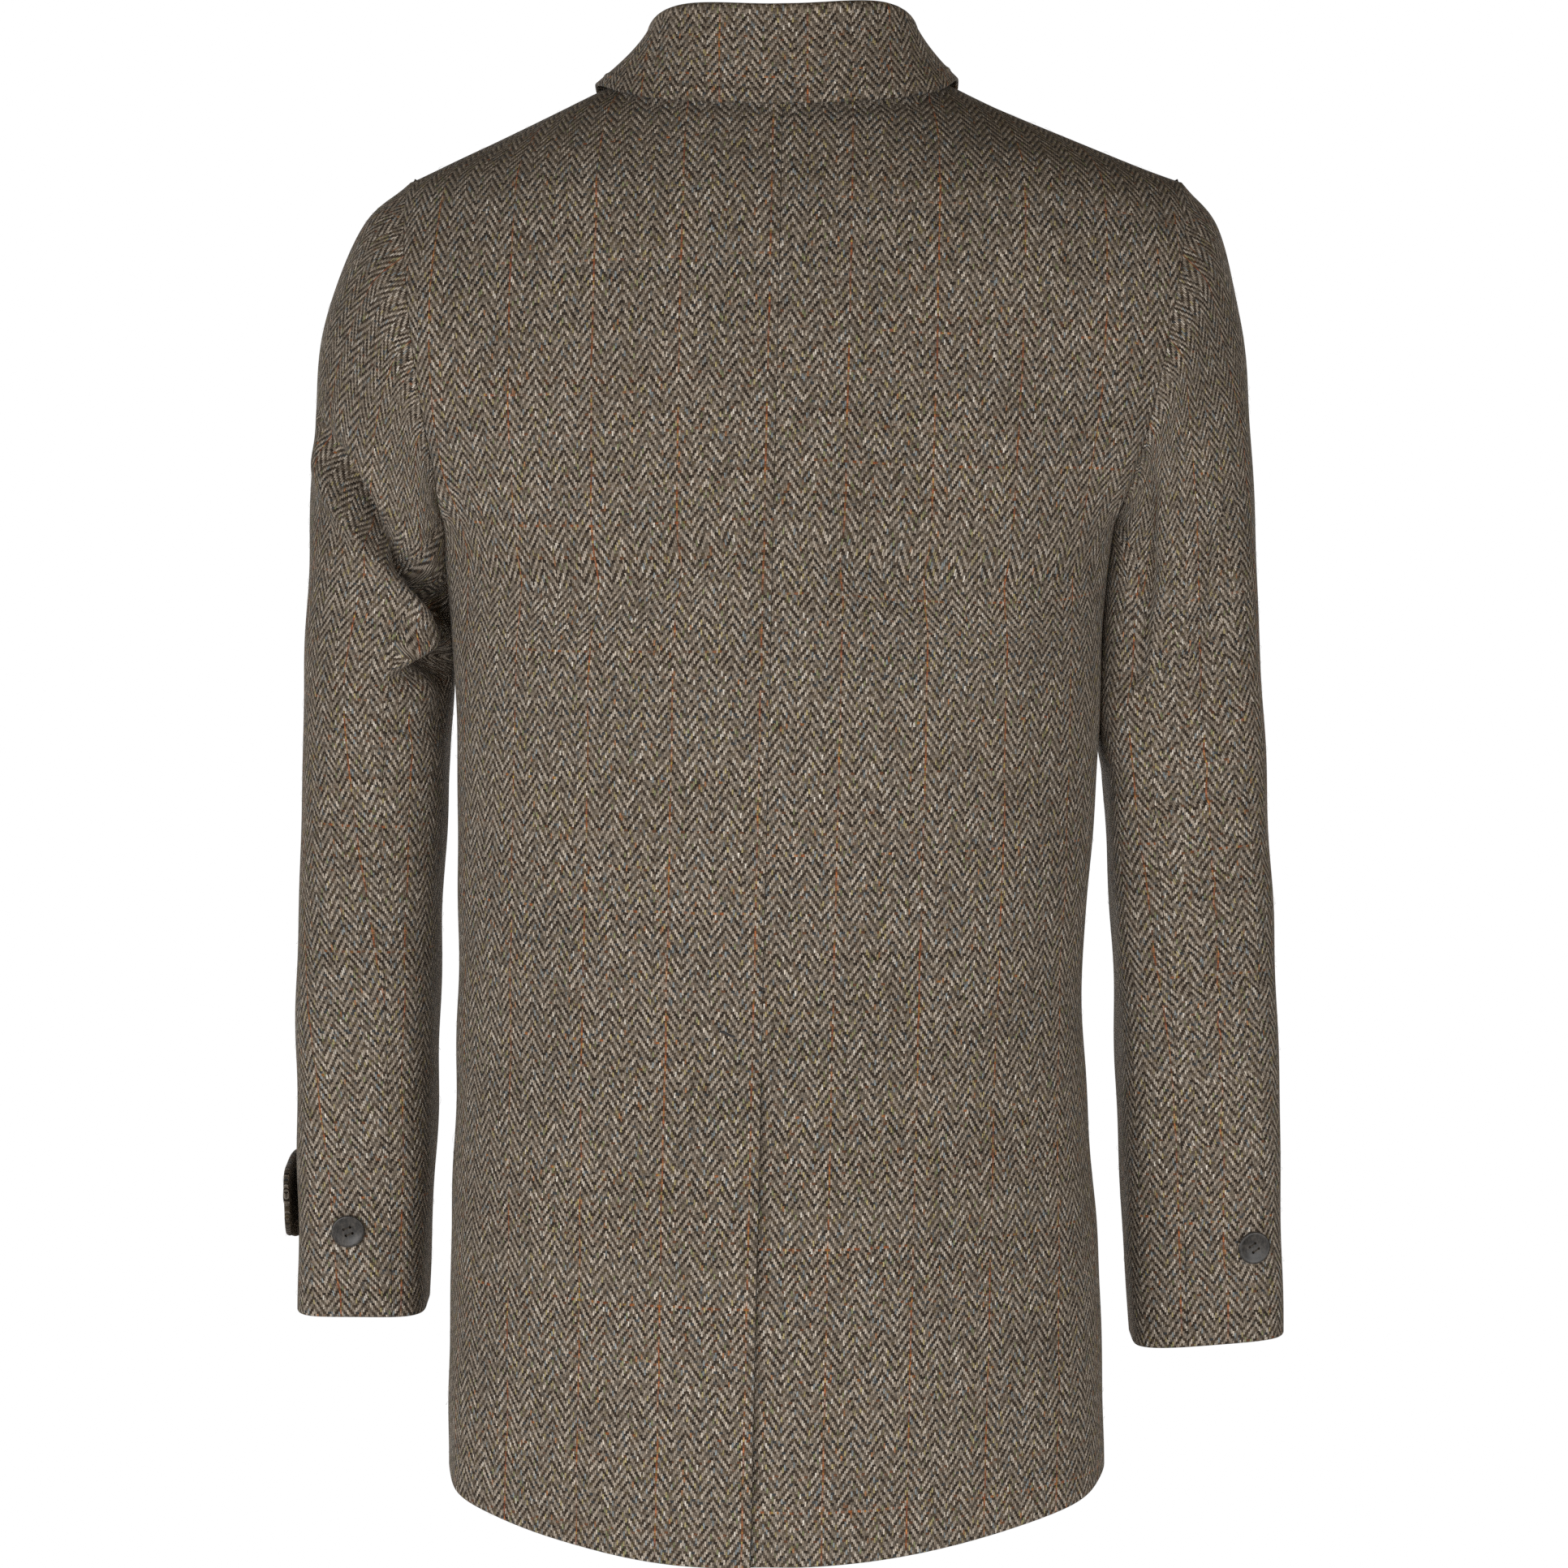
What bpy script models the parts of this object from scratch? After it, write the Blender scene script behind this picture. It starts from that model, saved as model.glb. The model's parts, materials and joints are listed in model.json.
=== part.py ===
"""Short overcoat in tweed, filled out as if worn, with nothing inside it.

Every panel is a wall of cloth: a grid laid on a surface that is lofted through
tailor's sections, then thickened inwards. The wearer faces -Y, +Z is up, and the
origin is between the neck points, where the shoulders carry the coat.
"""

import math
from collections import namedtuple

import bmesh
import bpy
import numpy as np
from mathutils import Matrix, Vector

# Cloth and seams, in metres
CLOTH = 0.0022
TAB_CLOTH = 0.0032
SEAM = 0.0005
UNDER_LAP = 0.0038
LAP_RAMP = 0.028

# Heights of the cut, measured down from the neck points
HEM_BACK = -0.845
HEM_FRONT = -0.822
HEM_SIDE = -0.812
ARMPIT = -0.262
SHOULDER_BACK = -0.070
SHOULDER_FRONT = -0.150
NECK_BACK = -0.008
NECK_FRONT = -0.092

# Widths that the seams and laps take
FRONT_LAP = 0.026
VENT_LAP = 0.036
LAP_MARGIN = 0.004
BACK_SEAM_DRIFT = 0.0225
SIDE_SEAM_Y = -0.004

# How full a section is towards its corner: 0.55 is an ellipse, and 1 is nearly square
MIDDLE_FULLNESS = 0.62
SIDE_FULLNESS = 0.51
NECK_FULLNESS = 0.56
ARMHOLE_TUCK = 0.24
HEM_DIP = 0.30
SOFTEN = 0.30
SOFT_WEIGHTS = {-1.0: 1 / 9, -0.5: 2 / 9, 0.0: 3 / 9, 0.5: 2 / 9, 1.0: 1 / 9}

Width = namedtuple("Width", "height left right")
WIDTHS = [
    Width(-0.845, 0.199, 0.189),
    Width(-0.725, 0.195, 0.185),
    Width(-0.640, 0.193, 0.180),
    Width(-0.520, 0.190, 0.1745),
    Width(-0.400, 0.190, 0.182),
    Width(-0.300, 0.190, 0.186),
    Width(-0.262, 0.190, 0.188),
]

Depth = namedtuple("Depth", "height depth")
BACK_DEPTHS = [
    Depth(-0.845, 0.137),
    Depth(-0.725, 0.132),
    Depth(-0.640, 0.125),
    Depth(-0.520, 0.108),
    Depth(-0.400, 0.110),
    Depth(-0.262, 0.121),
    Depth(-0.170, 0.119),
    Depth(-0.070, 0.101),
    Depth(-0.035, 0.083),
    Depth(-0.008, 0.062),
]
FRONT_DEPTHS = [
    Depth(-0.845, 0.142),
    Depth(-0.725, 0.137),
    Depth(-0.640, 0.131),
    Depth(-0.520, 0.123),
    Depth(-0.400, 0.127),
    Depth(-0.262, 0.131),
    Depth(-0.200, 0.123),
    Depth(-0.150, 0.108),
    Depth(-0.118, 0.091),
    Depth(-0.092, 0.072),
]

# The shoulder seam of each side, as distances out from the middle and heights
Shoulder = namedtuple("Shoulder", "sign tip_out tip_height mid_out mid_height neck_out neck_height under_out")
SHOULDERS = {
    "left": Shoulder(1, 0.214, -0.066, 0.1510, -0.0362, 0.0875, -0.005, 0.190),
    "right": Shoulder(-1, 0.228, -0.066, 0.1500, -0.0362, 0.0845, -0.005, 0.188),
}
ARMHOLE_BACK = 0.070
ARMHOLE_FRONT = 0.074
ARMHOLE_TURN = 0.11
TURN_FADE = 3.2

# Sleeve sections from the armhole to the cuff: each is an oval between an outer and an inner point
Ring = namedtuple("Ring", "outer outer_height inner inner_height back front middle_y squareness")
SLEEVES = {
    "left": [
        Ring(0.214, -0.066, 0.1900, -0.262, 0.070, 0.074, -0.004, 2.0),
        Ring(0.241, -0.090, 0.1912, -0.268, 0.074, 0.078, -0.010, 2.0),
        Ring(0.2635, -0.138, 0.1918, -0.279, 0.074, 0.079, -0.017, 2.0),
        Ring(0.2735, -0.205, 0.1918, -0.302, 0.070, 0.076, -0.025, 2.1),
        Ring(0.2780, -0.300, 0.1932, -0.352, 0.066, 0.071, -0.032, 2.2),
        Ring(0.2832, -0.430, 0.1988, -0.447, 0.061, 0.064, -0.038, 2.5),
        Ring(0.2878, -0.583, 0.2055, -0.587, 0.056, 0.058, -0.048, 3.0),
        Ring(0.2885, -0.7295, 0.2125, -0.7295, 0.050, 0.053, -0.062, 4.0),
    ],
    "right": [
        Ring(0.228, -0.066, 0.1880, -0.262, 0.070, 0.074, -0.004, 2.0),
        Ring(0.2505, -0.092, 0.1890, -0.268, 0.073, 0.077, -0.010, 2.0),
        Ring(0.2632, -0.142, 0.1890, -0.279, 0.072, 0.077, -0.017, 2.0),
        Ring(0.2702, -0.208, 0.1882, -0.302, 0.068, 0.073, -0.025, 2.1),
        Ring(0.2762, -0.305, 0.1868, -0.352, 0.063, 0.068, -0.032, 2.2),
        Ring(0.2834, -0.435, 0.1902, -0.447, 0.057, 0.060, -0.038, 2.5),
        Ring(0.2920, -0.593, 0.1982, -0.601, 0.051, 0.054, -0.047, 3.0),
        Ring(0.2968, -0.743, 0.2060, -0.749, 0.046, 0.049, -0.058, 4.0),
    ],
}

# Seams of the sleeves. The hindarm seam starts low at the armhole and comes round to the back: its
# degrees around each sleeve, from 0 along it at the armhole to 1 at the cuff
Hindarm = namedtuple("Hindarm", "along left right")
HINDARM = [
    Hindarm(0.00, 150, 150),
    Hindarm(0.25, 146, 146),
    Hindarm(0.45, 122, 124),
    Hindarm(0.60, 102, 109),
    Hindarm(0.71, 98, 104),
    Hindarm(0.86, 104, 97),
    Hindarm(1.00, 106, 95),
]
FOREARM_SEAM = math.radians(-108)

# Largest folds of the sleeves: troughs are negative and rolls are positive
Fold = namedtuple("Fold", "side face out_a height_a out_b height_b depth reach")
FOLDS = [
    Fold("left", "back", 0.268, -0.214, 0.200, -0.306, -0.010, 0.013),
    Fold("left", "back", 0.262, -0.245, 0.206, -0.326, 0.005, 0.016),
    Fold("left", "back", 0.224, -0.344, 0.198, -0.338, -0.010, 0.011),
    Fold("left", "front", 0.266, -0.225, 0.204, -0.300, -0.007, 0.014),
    Fold("right", "back", 0.212, -0.240, 0.206, -0.330, -0.006, 0.012),
    Fold("right", "back", 0.248, -0.270, 0.244, -0.350, 0.004, 0.015),
    Fold("right", "front", 0.262, -0.235, 0.206, -0.310, -0.007, 0.015),
]

# Soft flares of the skirt: a share of the way from the middle to the side seam
Flare = namedtuple("Flare", "side face share reach depth top")
FLARES = [
    Flare("left", "back", 0.34, 0.16, -0.0035, -0.45),
    Flare("left", "back", 0.72, 0.12, 0.0040, -0.50),
    Flare("right", "back", 0.38, 0.15, -0.0030, -0.48),
    Flare("right", "back", 0.70, 0.13, 0.0045, -0.42),
    Flare("left", "front", 0.45, 0.15, -0.0045, -0.46),
    Flare("left", "front", 0.74, 0.12, 0.0045, -0.52),
    Flare("right", "front", 0.50, 0.14, -0.0040, -0.50),
    Flare("right", "front", 0.76, 0.11, 0.0040, -0.44),
]

# Collar, at the middle of the back, over the shoulder seam and at the front edge
Collar = namedtuple("Collar", "round_neck stand lean edge_out edge_drop spread")
COLLAR = [
    Collar(0.0, 0.039, 0.016, 0.019, 0.018, 0.000),
    Collar(0.5, 0.038, 0.017, 0.020, 0.015, 0.000),
    Collar(1.0, 0.029, 0.020, 0.020, 0.0070, 0.000),
    Collar(1.5, 0.022, 0.010, 0.028, 0.022, 0.006),
    Collar(2.0, 0.016, 0.002, 0.034, 0.052, 0.034),
]
COLLAR_LIFT = 0.0006
COLLAR_ROLL = 0.0048
ROLL_START = 0.80
STAND_TOP = 0.70
FALL_BEND = 0.30

# Cuff tabs and buttons
TAB_TOP = 0.090
TAB_WIDTH = 0.054
TAB_CLEAR = 0.0006
TAB_CORNER = 0.34
TAB_NARROWING = 0.92
Tab = namedtuple("Tab", "start end lift button")
TABS = {
    "left": Tab(math.radians(-106), math.radians(10), 0.0046, math.radians(-16)),
    "right": Tab(math.radians(-106), math.radians(-26), 0.0012, math.radians(-46)),
}
CUFF_BUTTON = 0.0195
FRONT_BUTTON = 0.022
BUTTON_THICK = 0.0034
BUTTON_CLEAR = 0.0003
CuffButton = namedtuple("CuffButton", "side around height")
CUFF_BUTTONS = [
    CuffButton("left", math.radians(88), -0.676),
    CuffButton("right", math.radians(69), -0.6865),
]
FRONT_BUTTON_HEIGHTS = (-0.128, -0.262, -0.396, -0.530)

# How finely the panels are cut into facets
PANEL_COLUMNS = 9
SKIRT_ROWS = 12
VENT_LEVEL = 4.01 / SKIRT_ROWS
ARMHOLE_ROWS = 7
YOKE_ROWS = 3
SLEEVE_ROWS = 18
ROW_CROWDING = 1.15
TOP_SLEEVE_COLUMNS = 12
UNDER_SLEEVE_COLUMNS = 7
COLLAR_COLUMNS = 28
BUTTON_STEPS = 16

# Directions are measured this far inside a surface's edges
EDGE_STEP = 1e-3
FULL_TURN = 2 * math.pi

TWEED_BROWN = (0.135, 0.108, 0.082, 1.0)
HORN_GREY = (0.040, 0.036, 0.034, 1.0)


# Small curves


def smooth(x, xs, ys):
    """A smooth curve through the points (xs, ys), read at x."""
    xs, ys = np.asarray(xs, float), np.asarray(ys, float)
    slopes = np.gradient(ys, xs)
    i = np.clip(np.searchsorted(xs, x) - 1, 0, len(xs) - 2)
    span = xs[i + 1] - xs[i]
    f = np.clip((x - xs[i]) / span, 0, 1)
    rise = f * f * (3 - 2 * f)
    lift = f * (1 - f) ** 2 * slopes[i] - f * f * (1 - f) * slopes[i + 1]
    return ys[i] * (1 - rise) + ys[i + 1] * rise + span * lift


def read(table, column, x):
    """One column of a table, as a smooth curve over the table's first column."""
    return smooth(x, [row[0] for row in table], [getattr(row, column) for row in table])


def ease(x):
    """0 below 0, 1 above 1 and a soft step between them."""
    x = np.clip(x, 0, 1)
    return x * x * (3 - 2 * x)


def mix(a, b, f):
    return a + (b - a) * f


def points(x, y, z):
    return np.stack(np.broadcast_arrays(x, y, z), axis=-1).astype(float)


def unit(v):
    return v / np.maximum(np.linalg.norm(v, axis=-1, keepdims=True), 1e-12)


# Body surface: rows run from the middle to the side seam, armhole or shoulder seam


def armhole(side, angle, face):
    """The armhole seam: 0 is the shoulder tip, pi is under the arm. It lies in one plane."""
    cut = SHOULDERS[side]
    depth = ARMHOLE_BACK if face == "back" else -ARMHOLE_FRONT
    aside = depth * np.sin(angle)
    out = mix(cut.under_out, cut.tip_out, (1 + np.cos(angle)) / 2) + ARMHOLE_TURN * aside
    height = mix(ARMPIT, cut.tip_height, (1 + np.cos(angle)) / 2)
    return points(cut.sign * out, SIDE_SEAM_Y + aside, height)


def armhole_plane(side):
    """The direction square to the armhole's plane, pointing out of the body."""
    cut = SHOULDERS[side]
    lean = (cut.tip_out - cut.under_out) / (cut.tip_height - ARMPIT)
    return unit(np.array([cut.sign, -ARMHOLE_TURN, -lean]))


def section(side, face, share, level):
    """A point of the coat's sections. Level 0 is the hem, 1 the armpit, 2 the shoulder tip and 3 the neck.
    Share 0 is the middle and 1 the side."""
    cut = SHOULDERS[side]
    share, level = np.broadcast_arrays(np.asarray(share, float), np.asarray(level, float))
    skirt, arm, yoke = (np.clip(level - k, 0, 1) for k in range(3))
    turn = math.pi * (1 - arm)
    back = face == "back"
    hem = HEM_BACK if back else HEM_FRONT
    shoulder, neck = (SHOULDER_BACK, NECK_BACK) if back else (SHOULDER_FRONT, NECK_FRONT)
    rise = (1 + np.cos(turn)) / 2
    middle_z = mix(hem, ARMPIT, skirt) + (shoulder - ARMPIT) * rise + (neck - shoulder) * yoke
    if back:
        middle_y = read(BACK_DEPTHS, "depth", middle_z)
        middle_x = -BACK_SEAM_DRIFT * middle_z
    else:
        middle_y = -read(FRONT_DEPTHS, "depth", middle_z)
        middle_x = np.zeros_like(middle_z)
    # The outer end of the row
    side_z = mix(HEM_SIDE, ARMPIT, skirt)
    side_end = points(cut.sign * read(WIDTHS, side, side_z), SIDE_SEAM_Y, side_z)
    on_arm = armhole(side, turn, face)
    a, b, c = (1 - yoke) ** 2, 2 * yoke * (1 - yoke), yoke**2
    bend_out = 2 * cut.mid_out - (cut.tip_out + cut.neck_out) / 2
    bend_z = 2 * cut.mid_height - (cut.tip_height + cut.neck_height) / 2
    seam_out = a * cut.tip_out + b * bend_out + c * cut.neck_out
    seam_z = a * cut.tip_height + b * bend_z + c * cut.neck_height
    on_seam = points(cut.sign * seam_out, SIDE_SEAM_Y, seam_z)
    row = level[..., None]
    end = np.where(row <= 1, side_end, np.where(row <= 2, on_arm, on_seam))
    # A curve from the middle to that end, level where it starts and where it ends
    corner_x = end[..., 0] * (1 - ARMHOLE_TUCK * np.sin(turn) * (level < 2))
    near = mix(MIDDLE_FULLNESS, NECK_FULLNESS, ease(level / 3))[..., None]
    far = mix(SIDE_FULLNESS, NECK_FULLNESS, ease(level / 3))[..., None]
    start = points(middle_x, middle_y, middle_z)
    leave = mix(start, points(corner_x, middle_y, middle_z), near)
    end_z = mix(end[..., 2], middle_z, HEM_DIP * (1 - skirt))
    arrive = mix(end, points(corner_x, middle_y, end_z), far)
    s = np.clip(share, 0, 1)[..., None]
    return (1 - s) ** 3 * start + 3 * s * (1 - s) ** 2 * leave + 3 * s * s * (1 - s) * arrive + s**3 * end


def body(side, face, share, level):
    """A point of the coat's body: its sections, softened where the armhole and the shoulder start."""
    share, level = np.broadcast_arrays(np.asarray(share, float), np.asarray(level, float))
    reach = SOFTEN * 4 * share * (1 - share) * ease((level - 0.7) / 0.3) * ease((3 - level) / 0.35)
    return sum(weight * section(side, face, share, level + k * reach) for k, weight in SOFT_WEIGHTS.items())


def flared(side, face, share, level):
    """How far the skirt swings out or in at a point of the body."""
    height = mix(HEM_SIDE, ARMPIT, np.clip(level, 0, 1))
    swing = np.zeros(np.broadcast(share, level).shape)
    for flare in FLARES:
        if (flare.side, flare.face) == (side, face):
            across = np.exp(-(((share - flare.share) / flare.reach) ** 2))
            swing = swing + flare.depth * across * ease((flare.top - height) / (flare.top - HEM_SIDE))
    return swing


def outward(surface, u, v, middle, step=1e-4):
    """The direction out of a surface at (u, v), away from the line given by middle."""
    along = surface(u + step, v) - surface(u - step, v)
    up = surface(u, v + step) - surface(u, v - step)
    normal = unit(np.cross(along, up))
    away = (normal * (surface(u, v) - middle)).sum(axis=-1, keepdims=True)
    return np.where(away < 0, -normal, normal)


def body_wall(side, face, share, level):
    """Points of the body's outer skin and the directions out of it."""
    lifted = np.clip(level, EDGE_STEP, 3 - EDGE_STEP)
    inside = np.clip(share, EDGE_STEP, 1 - EDGE_STEP)
    spot = body(side, face, share, level)
    middle = points(spot[..., 0] * 0.55, SIDE_SEAM_Y, spot[..., 2] - 0.10 * ease((level - 1.5) / 1.5))
    normal = outward(lambda u, v: body(side, face, u, v), inside, lifted, middle)
    spot = spot + normal * flared(side, face, share, level)[..., None]
    at_armhole = (share > 0.999) & (level > 1) & (level < 2)
    flat = armhole_plane(side)
    in_plane = unit(normal - (normal @ flat)[..., None] * flat)
    return spot, np.where(at_armhole[..., None], in_plane, normal)


# Sleeve surface


def ring_point(side, around, along):
    """A point of the sleeve: around 0 is the outside, pi/2 the back; along runs from 0 at the armhole to 1."""
    table = SLEEVES[side]
    step = np.asarray(along, float) * (len(table) - 1)
    at = {name: smooth(step, range(len(table)), [getattr(r, name) for r in table]) for name in Ring._fields}
    power = 2 / at["squareness"]
    across, aside = np.cos(around), np.sin(around)
    across = np.sign(across) * np.abs(across) ** power
    aside = np.sign(aside) * np.abs(aside) ** power
    reach = np.where(aside > 0, at["back"], at["front"]) * aside
    turn = ARMHOLE_TURN * (1 - ease(np.asarray(along) * TURN_FADE))
    out = (at["outer"] + at["inner"]) / 2 + (at["outer"] - at["inner"]) / 2 * across + turn * reach
    height = (at["outer_height"] + at["inner_height"]) / 2
    height = height + (at["outer_height"] - at["inner_height"]) / 2 * across
    return points(SHOULDERS[side].sign * out, at["middle_y"] + reach, height)


def folded(side, spot, around):
    """How far the sleeve's largest folds move a point out or in."""
    out, height = np.abs(spot[..., 0]), spot[..., 2]
    shift = np.zeros(out.shape)
    for fold in FOLDS:
        if fold.side != side:
            continue
        run = np.array([fold.out_b - fold.out_a, fold.height_b - fold.height_a])
        length = np.hypot(*run)
        along = ((out - fold.out_a) * run[0] + (height - fold.height_a) * run[1]) / length**2
        off = ((out - fold.out_a) * run[1] - (height - fold.height_a) * run[0]) / length
        fade = ease((along + 0.15) / 0.4) * ease((1.15 - along) / 0.3)
        facing = np.sin(around) if fold.face == "back" else -np.sin(around)
        shift += fold.depth * fade * np.exp(-((off / fold.reach) ** 2)) * ease(facing * 2.2)
    return shift


def sleeve_wall(side, around, along):
    """Points of the sleeve's outer skin and the directions out of it."""
    table = SLEEVES[side]
    spot = ring_point(side, around, along)
    step = np.asarray(along) * (len(table) - 1)
    inner = smooth(step, range(len(table)), [(r.outer + r.inner) / 2 for r in table])
    height = smooth(step, range(len(table)), [(r.outer_height + r.inner_height) / 2 for r in table])
    front = smooth(step, range(len(table)), [r.middle_y for r in table])
    middle = points(SHOULDERS[side].sign * inner, front, height)
    held = np.clip(along, EDGE_STEP, 1 - EDGE_STEP)
    normal = outward(lambda u, v: ring_point(side, u, v), around, held, middle)
    spot = spot + normal * folded(side, spot, around)[..., None]
    flat = armhole_plane(side)
    in_plane = unit(normal - (normal @ flat)[..., None] * flat)
    return spot, np.where(np.asarray(along)[..., None] < 1e-6, in_plane, normal)


# Collar surface


def neck(round_neck):
    """The neck seam: 0 is the middle of the back, 1 the left shoulder seam and 2 the front edge."""
    q = np.asarray(round_neck, float)
    shape = np.zeros(q.shape + (3,))
    for side in SHOULDERS:
        here = q >= 0 if side == "left" else q < 0
        turn = np.abs(q)
        back = body(side, "back", np.clip(turn, 0, 1), 3.0)
        front = body(side, "front", np.clip(2 - turn, 0, 1), 3.0)
        shape = np.where(here[..., None], np.where((turn <= 1)[..., None], back, front), shape)
    return shape


def collar_lines(round_neck):
    """The neck line, the fold and the outer edge of the collar."""
    q = np.asarray(round_neck, float)
    base = neck(q)
    ahead = neck(np.clip(q + 0.02, -2, 2)) - neck(np.clip(q - 0.02, -2, 2))
    ahead[..., 2] = 0
    out = unit(np.cross(ahead, np.array([0.0, 0.0, 1.0])))
    out = np.where((out * (base * [1, 1, 0])).sum(-1, keepdims=True) < 0, -out, out)
    size = {name: read(COLLAR, name, np.abs(q))[..., None] for name in Collar._fields[1:]}
    up = np.array([0.0, 0.0, 1.0])
    sideways = np.sign(q)[..., None] * np.array([1.0, 0.0, 0.0])
    fold = base + up * size["stand"] - out * size["lean"]
    edge = base + out * size["edge_out"] - up * size["edge_drop"] + sideways * size["spread"]
    return base, fold, edge, out


def collar_section(round_neck, along):
    """A point of the collar: along runs from the neck seam up the stand, over the fold at 1 and down to the
    edge at 2."""
    base, fold, edge, out = collar_lines(round_neck)
    up = np.array([0.0, 0.0, 1.0])
    along = np.asarray(along, float)[..., None]
    foot = base - out * CLOTH + up * COLLAR_LIFT
    below = fold - up * COLLAR_ROLL
    stand = mix(foot, below, np.clip(along / ROLL_START, 0, 1))
    turn = math.pi * np.clip((along - ROLL_START) / (2 - 2 * ROLL_START), 0, 1)
    roll = below + out * COLLAR_ROLL * (1 - np.cos(turn)) + up * COLLAR_ROLL * np.sin(turn)
    fall = np.clip((along - 2 + ROLL_START) / ROLL_START, 0, 1)
    top = below + out * COLLAR_ROLL * 2
    drop = np.linalg.norm(edge - top, axis=-1, keepdims=True)
    lean = top - up * drop * FALL_BEND
    hang = (1 - fall) ** 2 * top + 2 * fall * (1 - fall) * mix(lean, mix(top, edge, 0.5), 0.6) + fall**2 * edge
    return np.where(along < ROLL_START, stand, np.where(fall > 0, hang, roll))


def collar_wall(round_neck, along):
    """Points of the collar's outer skin and the directions out of it."""
    q = np.clip(round_neck, -2 + EDGE_STEP, 2 - EDGE_STEP)
    spot = collar_section(round_neck, along)
    held = np.clip(along, EDGE_STEP, 2 - EDGE_STEP)
    around = collar_section(q + EDGE_STEP, held) - collar_section(q - EDGE_STEP, held)
    up = collar_section(q, held + EDGE_STEP) - collar_section(q, held - EDGE_STEP)
    return spot, unit(np.cross(up, around))


# Making the solids


def finish(name, bm, material, collection):
    """Turns a bmesh into a named object of the coat."""
    bmesh.ops.recalc_face_normals(bm, faces=bm.faces)
    mesh = bpy.data.meshes.new(name)
    bm.to_mesh(mesh)
    bm.free()
    mesh.shade_smooth()
    mesh.set_sharp_from_angle(angle=math.radians(40))
    obj = bpy.data.objects.new(name, mesh)
    obj.data.materials.append(material)
    collection.objects.link(obj)
    return obj


def pull_in(spots, amount):
    """Draws the four edges of a grid of points in, so that pieces are a gap apart at their seams."""
    for axis in (0, 1):
        lines = np.moveaxis(spots, axis, 0)
        for edge, inner in ((0, 1), (-1, -2)):
            lines[edge] += unit(lines[inner] - lines[edge]) * amount
    return spots


def cloth(name, place, columns, rows, material, collection, thick=CLOTH):
    """A wall of cloth: a grid put on the surface that place gives, then thickened inwards."""
    bm = bmesh.new()
    bmesh.ops.create_grid(bm, x_segments=columns, y_segments=rows, size=0.5)
    shares = np.array([(v.co.x + 0.5, v.co.y + 0.5) for v in bm.verts])
    column = np.rint(shares[:, 0] * columns).astype(int)
    row = np.rint(shares[:, 1] * rows).astype(int)
    u, v = np.meshgrid(np.linspace(0, 1, columns + 1), np.linspace(0, 1, rows + 1))
    spots, normals = place(u, v)
    spots = pull_in(spots, SEAM / 2)
    inward = bm.verts.layers.float_vector.new("inward")
    for vert, i, j in zip(bm.verts, row, column):
        vert.co = spots[i, j]
        vert[inward] = Vector(-normals[i, j] * thick)
    grown = bmesh.ops.extrude_face_region(bm, geom=bm.faces[:])
    for vert in grown["geom"]:
        if isinstance(vert, bmesh.types.BMVert):
            vert.co += vert[inward]
    return finish(name, bm, material, collection)


def panel_levels(share):
    """Spreads rows over the skirt, the armhole and the yoke, with the share of rows that each has."""
    total = SKIRT_ROWS + ARMHOLE_ROWS + YOKE_ROWS
    stops = np.array([0, SKIRT_ROWS, SKIRT_ROWS + ARMHOLE_ROWS, total]) / total
    return np.interp(share, stops, [0, 1, 2, 3])


def share_at(side, face, level, metres):
    """The share of the way to the side seam that is this far from the middle."""
    tries = np.linspace(0, 0.6, 240)
    shares = []
    for one, far in zip(level, np.broadcast_to(metres, level.shape)):
        row = body(side, face, tries, one)
        shares.append(np.interp(far, np.abs(row[:, 0] - row[0, 0]), tries))
    return np.array(shares)


def lapped(side, face, v, past, stops, sunk):
    """A panel that runs past the middle, on the other side's surface, and then has columns at the stops.
    Its columns before the last stop are sunk under a lap."""
    level = panel_levels(v[:, 0])
    other = "right" if side == "left" else "left"
    beyond = share_at(other, face, level, past(level))
    fixed = [share_at(side, face, level, stop) for stop in stops]
    others = v.shape[1] - 1 - len(fixed)
    rest = [mix(fixed[-1], 1, k / others) for k in range(1, others + 1)]
    share = np.stack(fixed + rest, axis=-1)
    first = body_wall(other, face, beyond[:, None], level[:, None])
    later = body_wall(side, face, share, np.broadcast_to(level[:, None], share.shape))
    spot, normal = (np.concatenate(pair, axis=1) for pair in zip(first, later))
    low = len(stops)
    spot[:, :low] -= normal[:, :low] * sunk(level)[:, None, None]
    return spot, normal


def back_left(u, v):
    return body_wall("left", "back", u, panel_levels(v))


def back_right(u, v):
    def past(level):
        return VENT_LAP * (level <= VENT_LEVEL)

    def sunk(level):
        return UNDER_LAP * (level <= VENT_LEVEL + 1.01 / SKIRT_ROWS)

    return lapped("right", "back", v, past, (LAP_MARGIN, LAP_MARGIN + LAP_RAMP), sunk)


def front_lap(level):
    return np.full_like(level, FRONT_LAP)


def front_left(u, v):
    return lapped("left", "front", v, front_lap, (0.0,), np.zeros_like)


def front_right(u, v):
    def sunk(level):
        return np.full_like(level, UNDER_LAP)

    near = FRONT_LAP + LAP_MARGIN
    return lapped("right", "front", v, front_lap, (0.0, near, near + LAP_RAMP), sunk)


def hindarm(side, along):
    """The angle of the hindarm seam along a sleeve."""
    return np.radians(read(HINDARM, side, along))


def top_sleeve(side):
    def place(u, v):
        along = v**ROW_CROWDING
        return sleeve_wall(side, mix(FOREARM_SEAM, hindarm(side, along), u), along)

    return place


def under_sleeve(side):
    def place(u, v):
        along = v**ROW_CROWDING
        return sleeve_wall(side, mix(hindarm(side, along), FOREARM_SEAM + FULL_TURN, u), along)

    return place


def sleeve_along(side, around, height):
    """Where along the sleeve a line at this angle reaches the height."""
    tries = np.linspace(0.5, 1, 400)
    heights = ring_point(side, around, tries)[:, 2]
    return float(np.interp(-height, -heights, tries))


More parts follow.
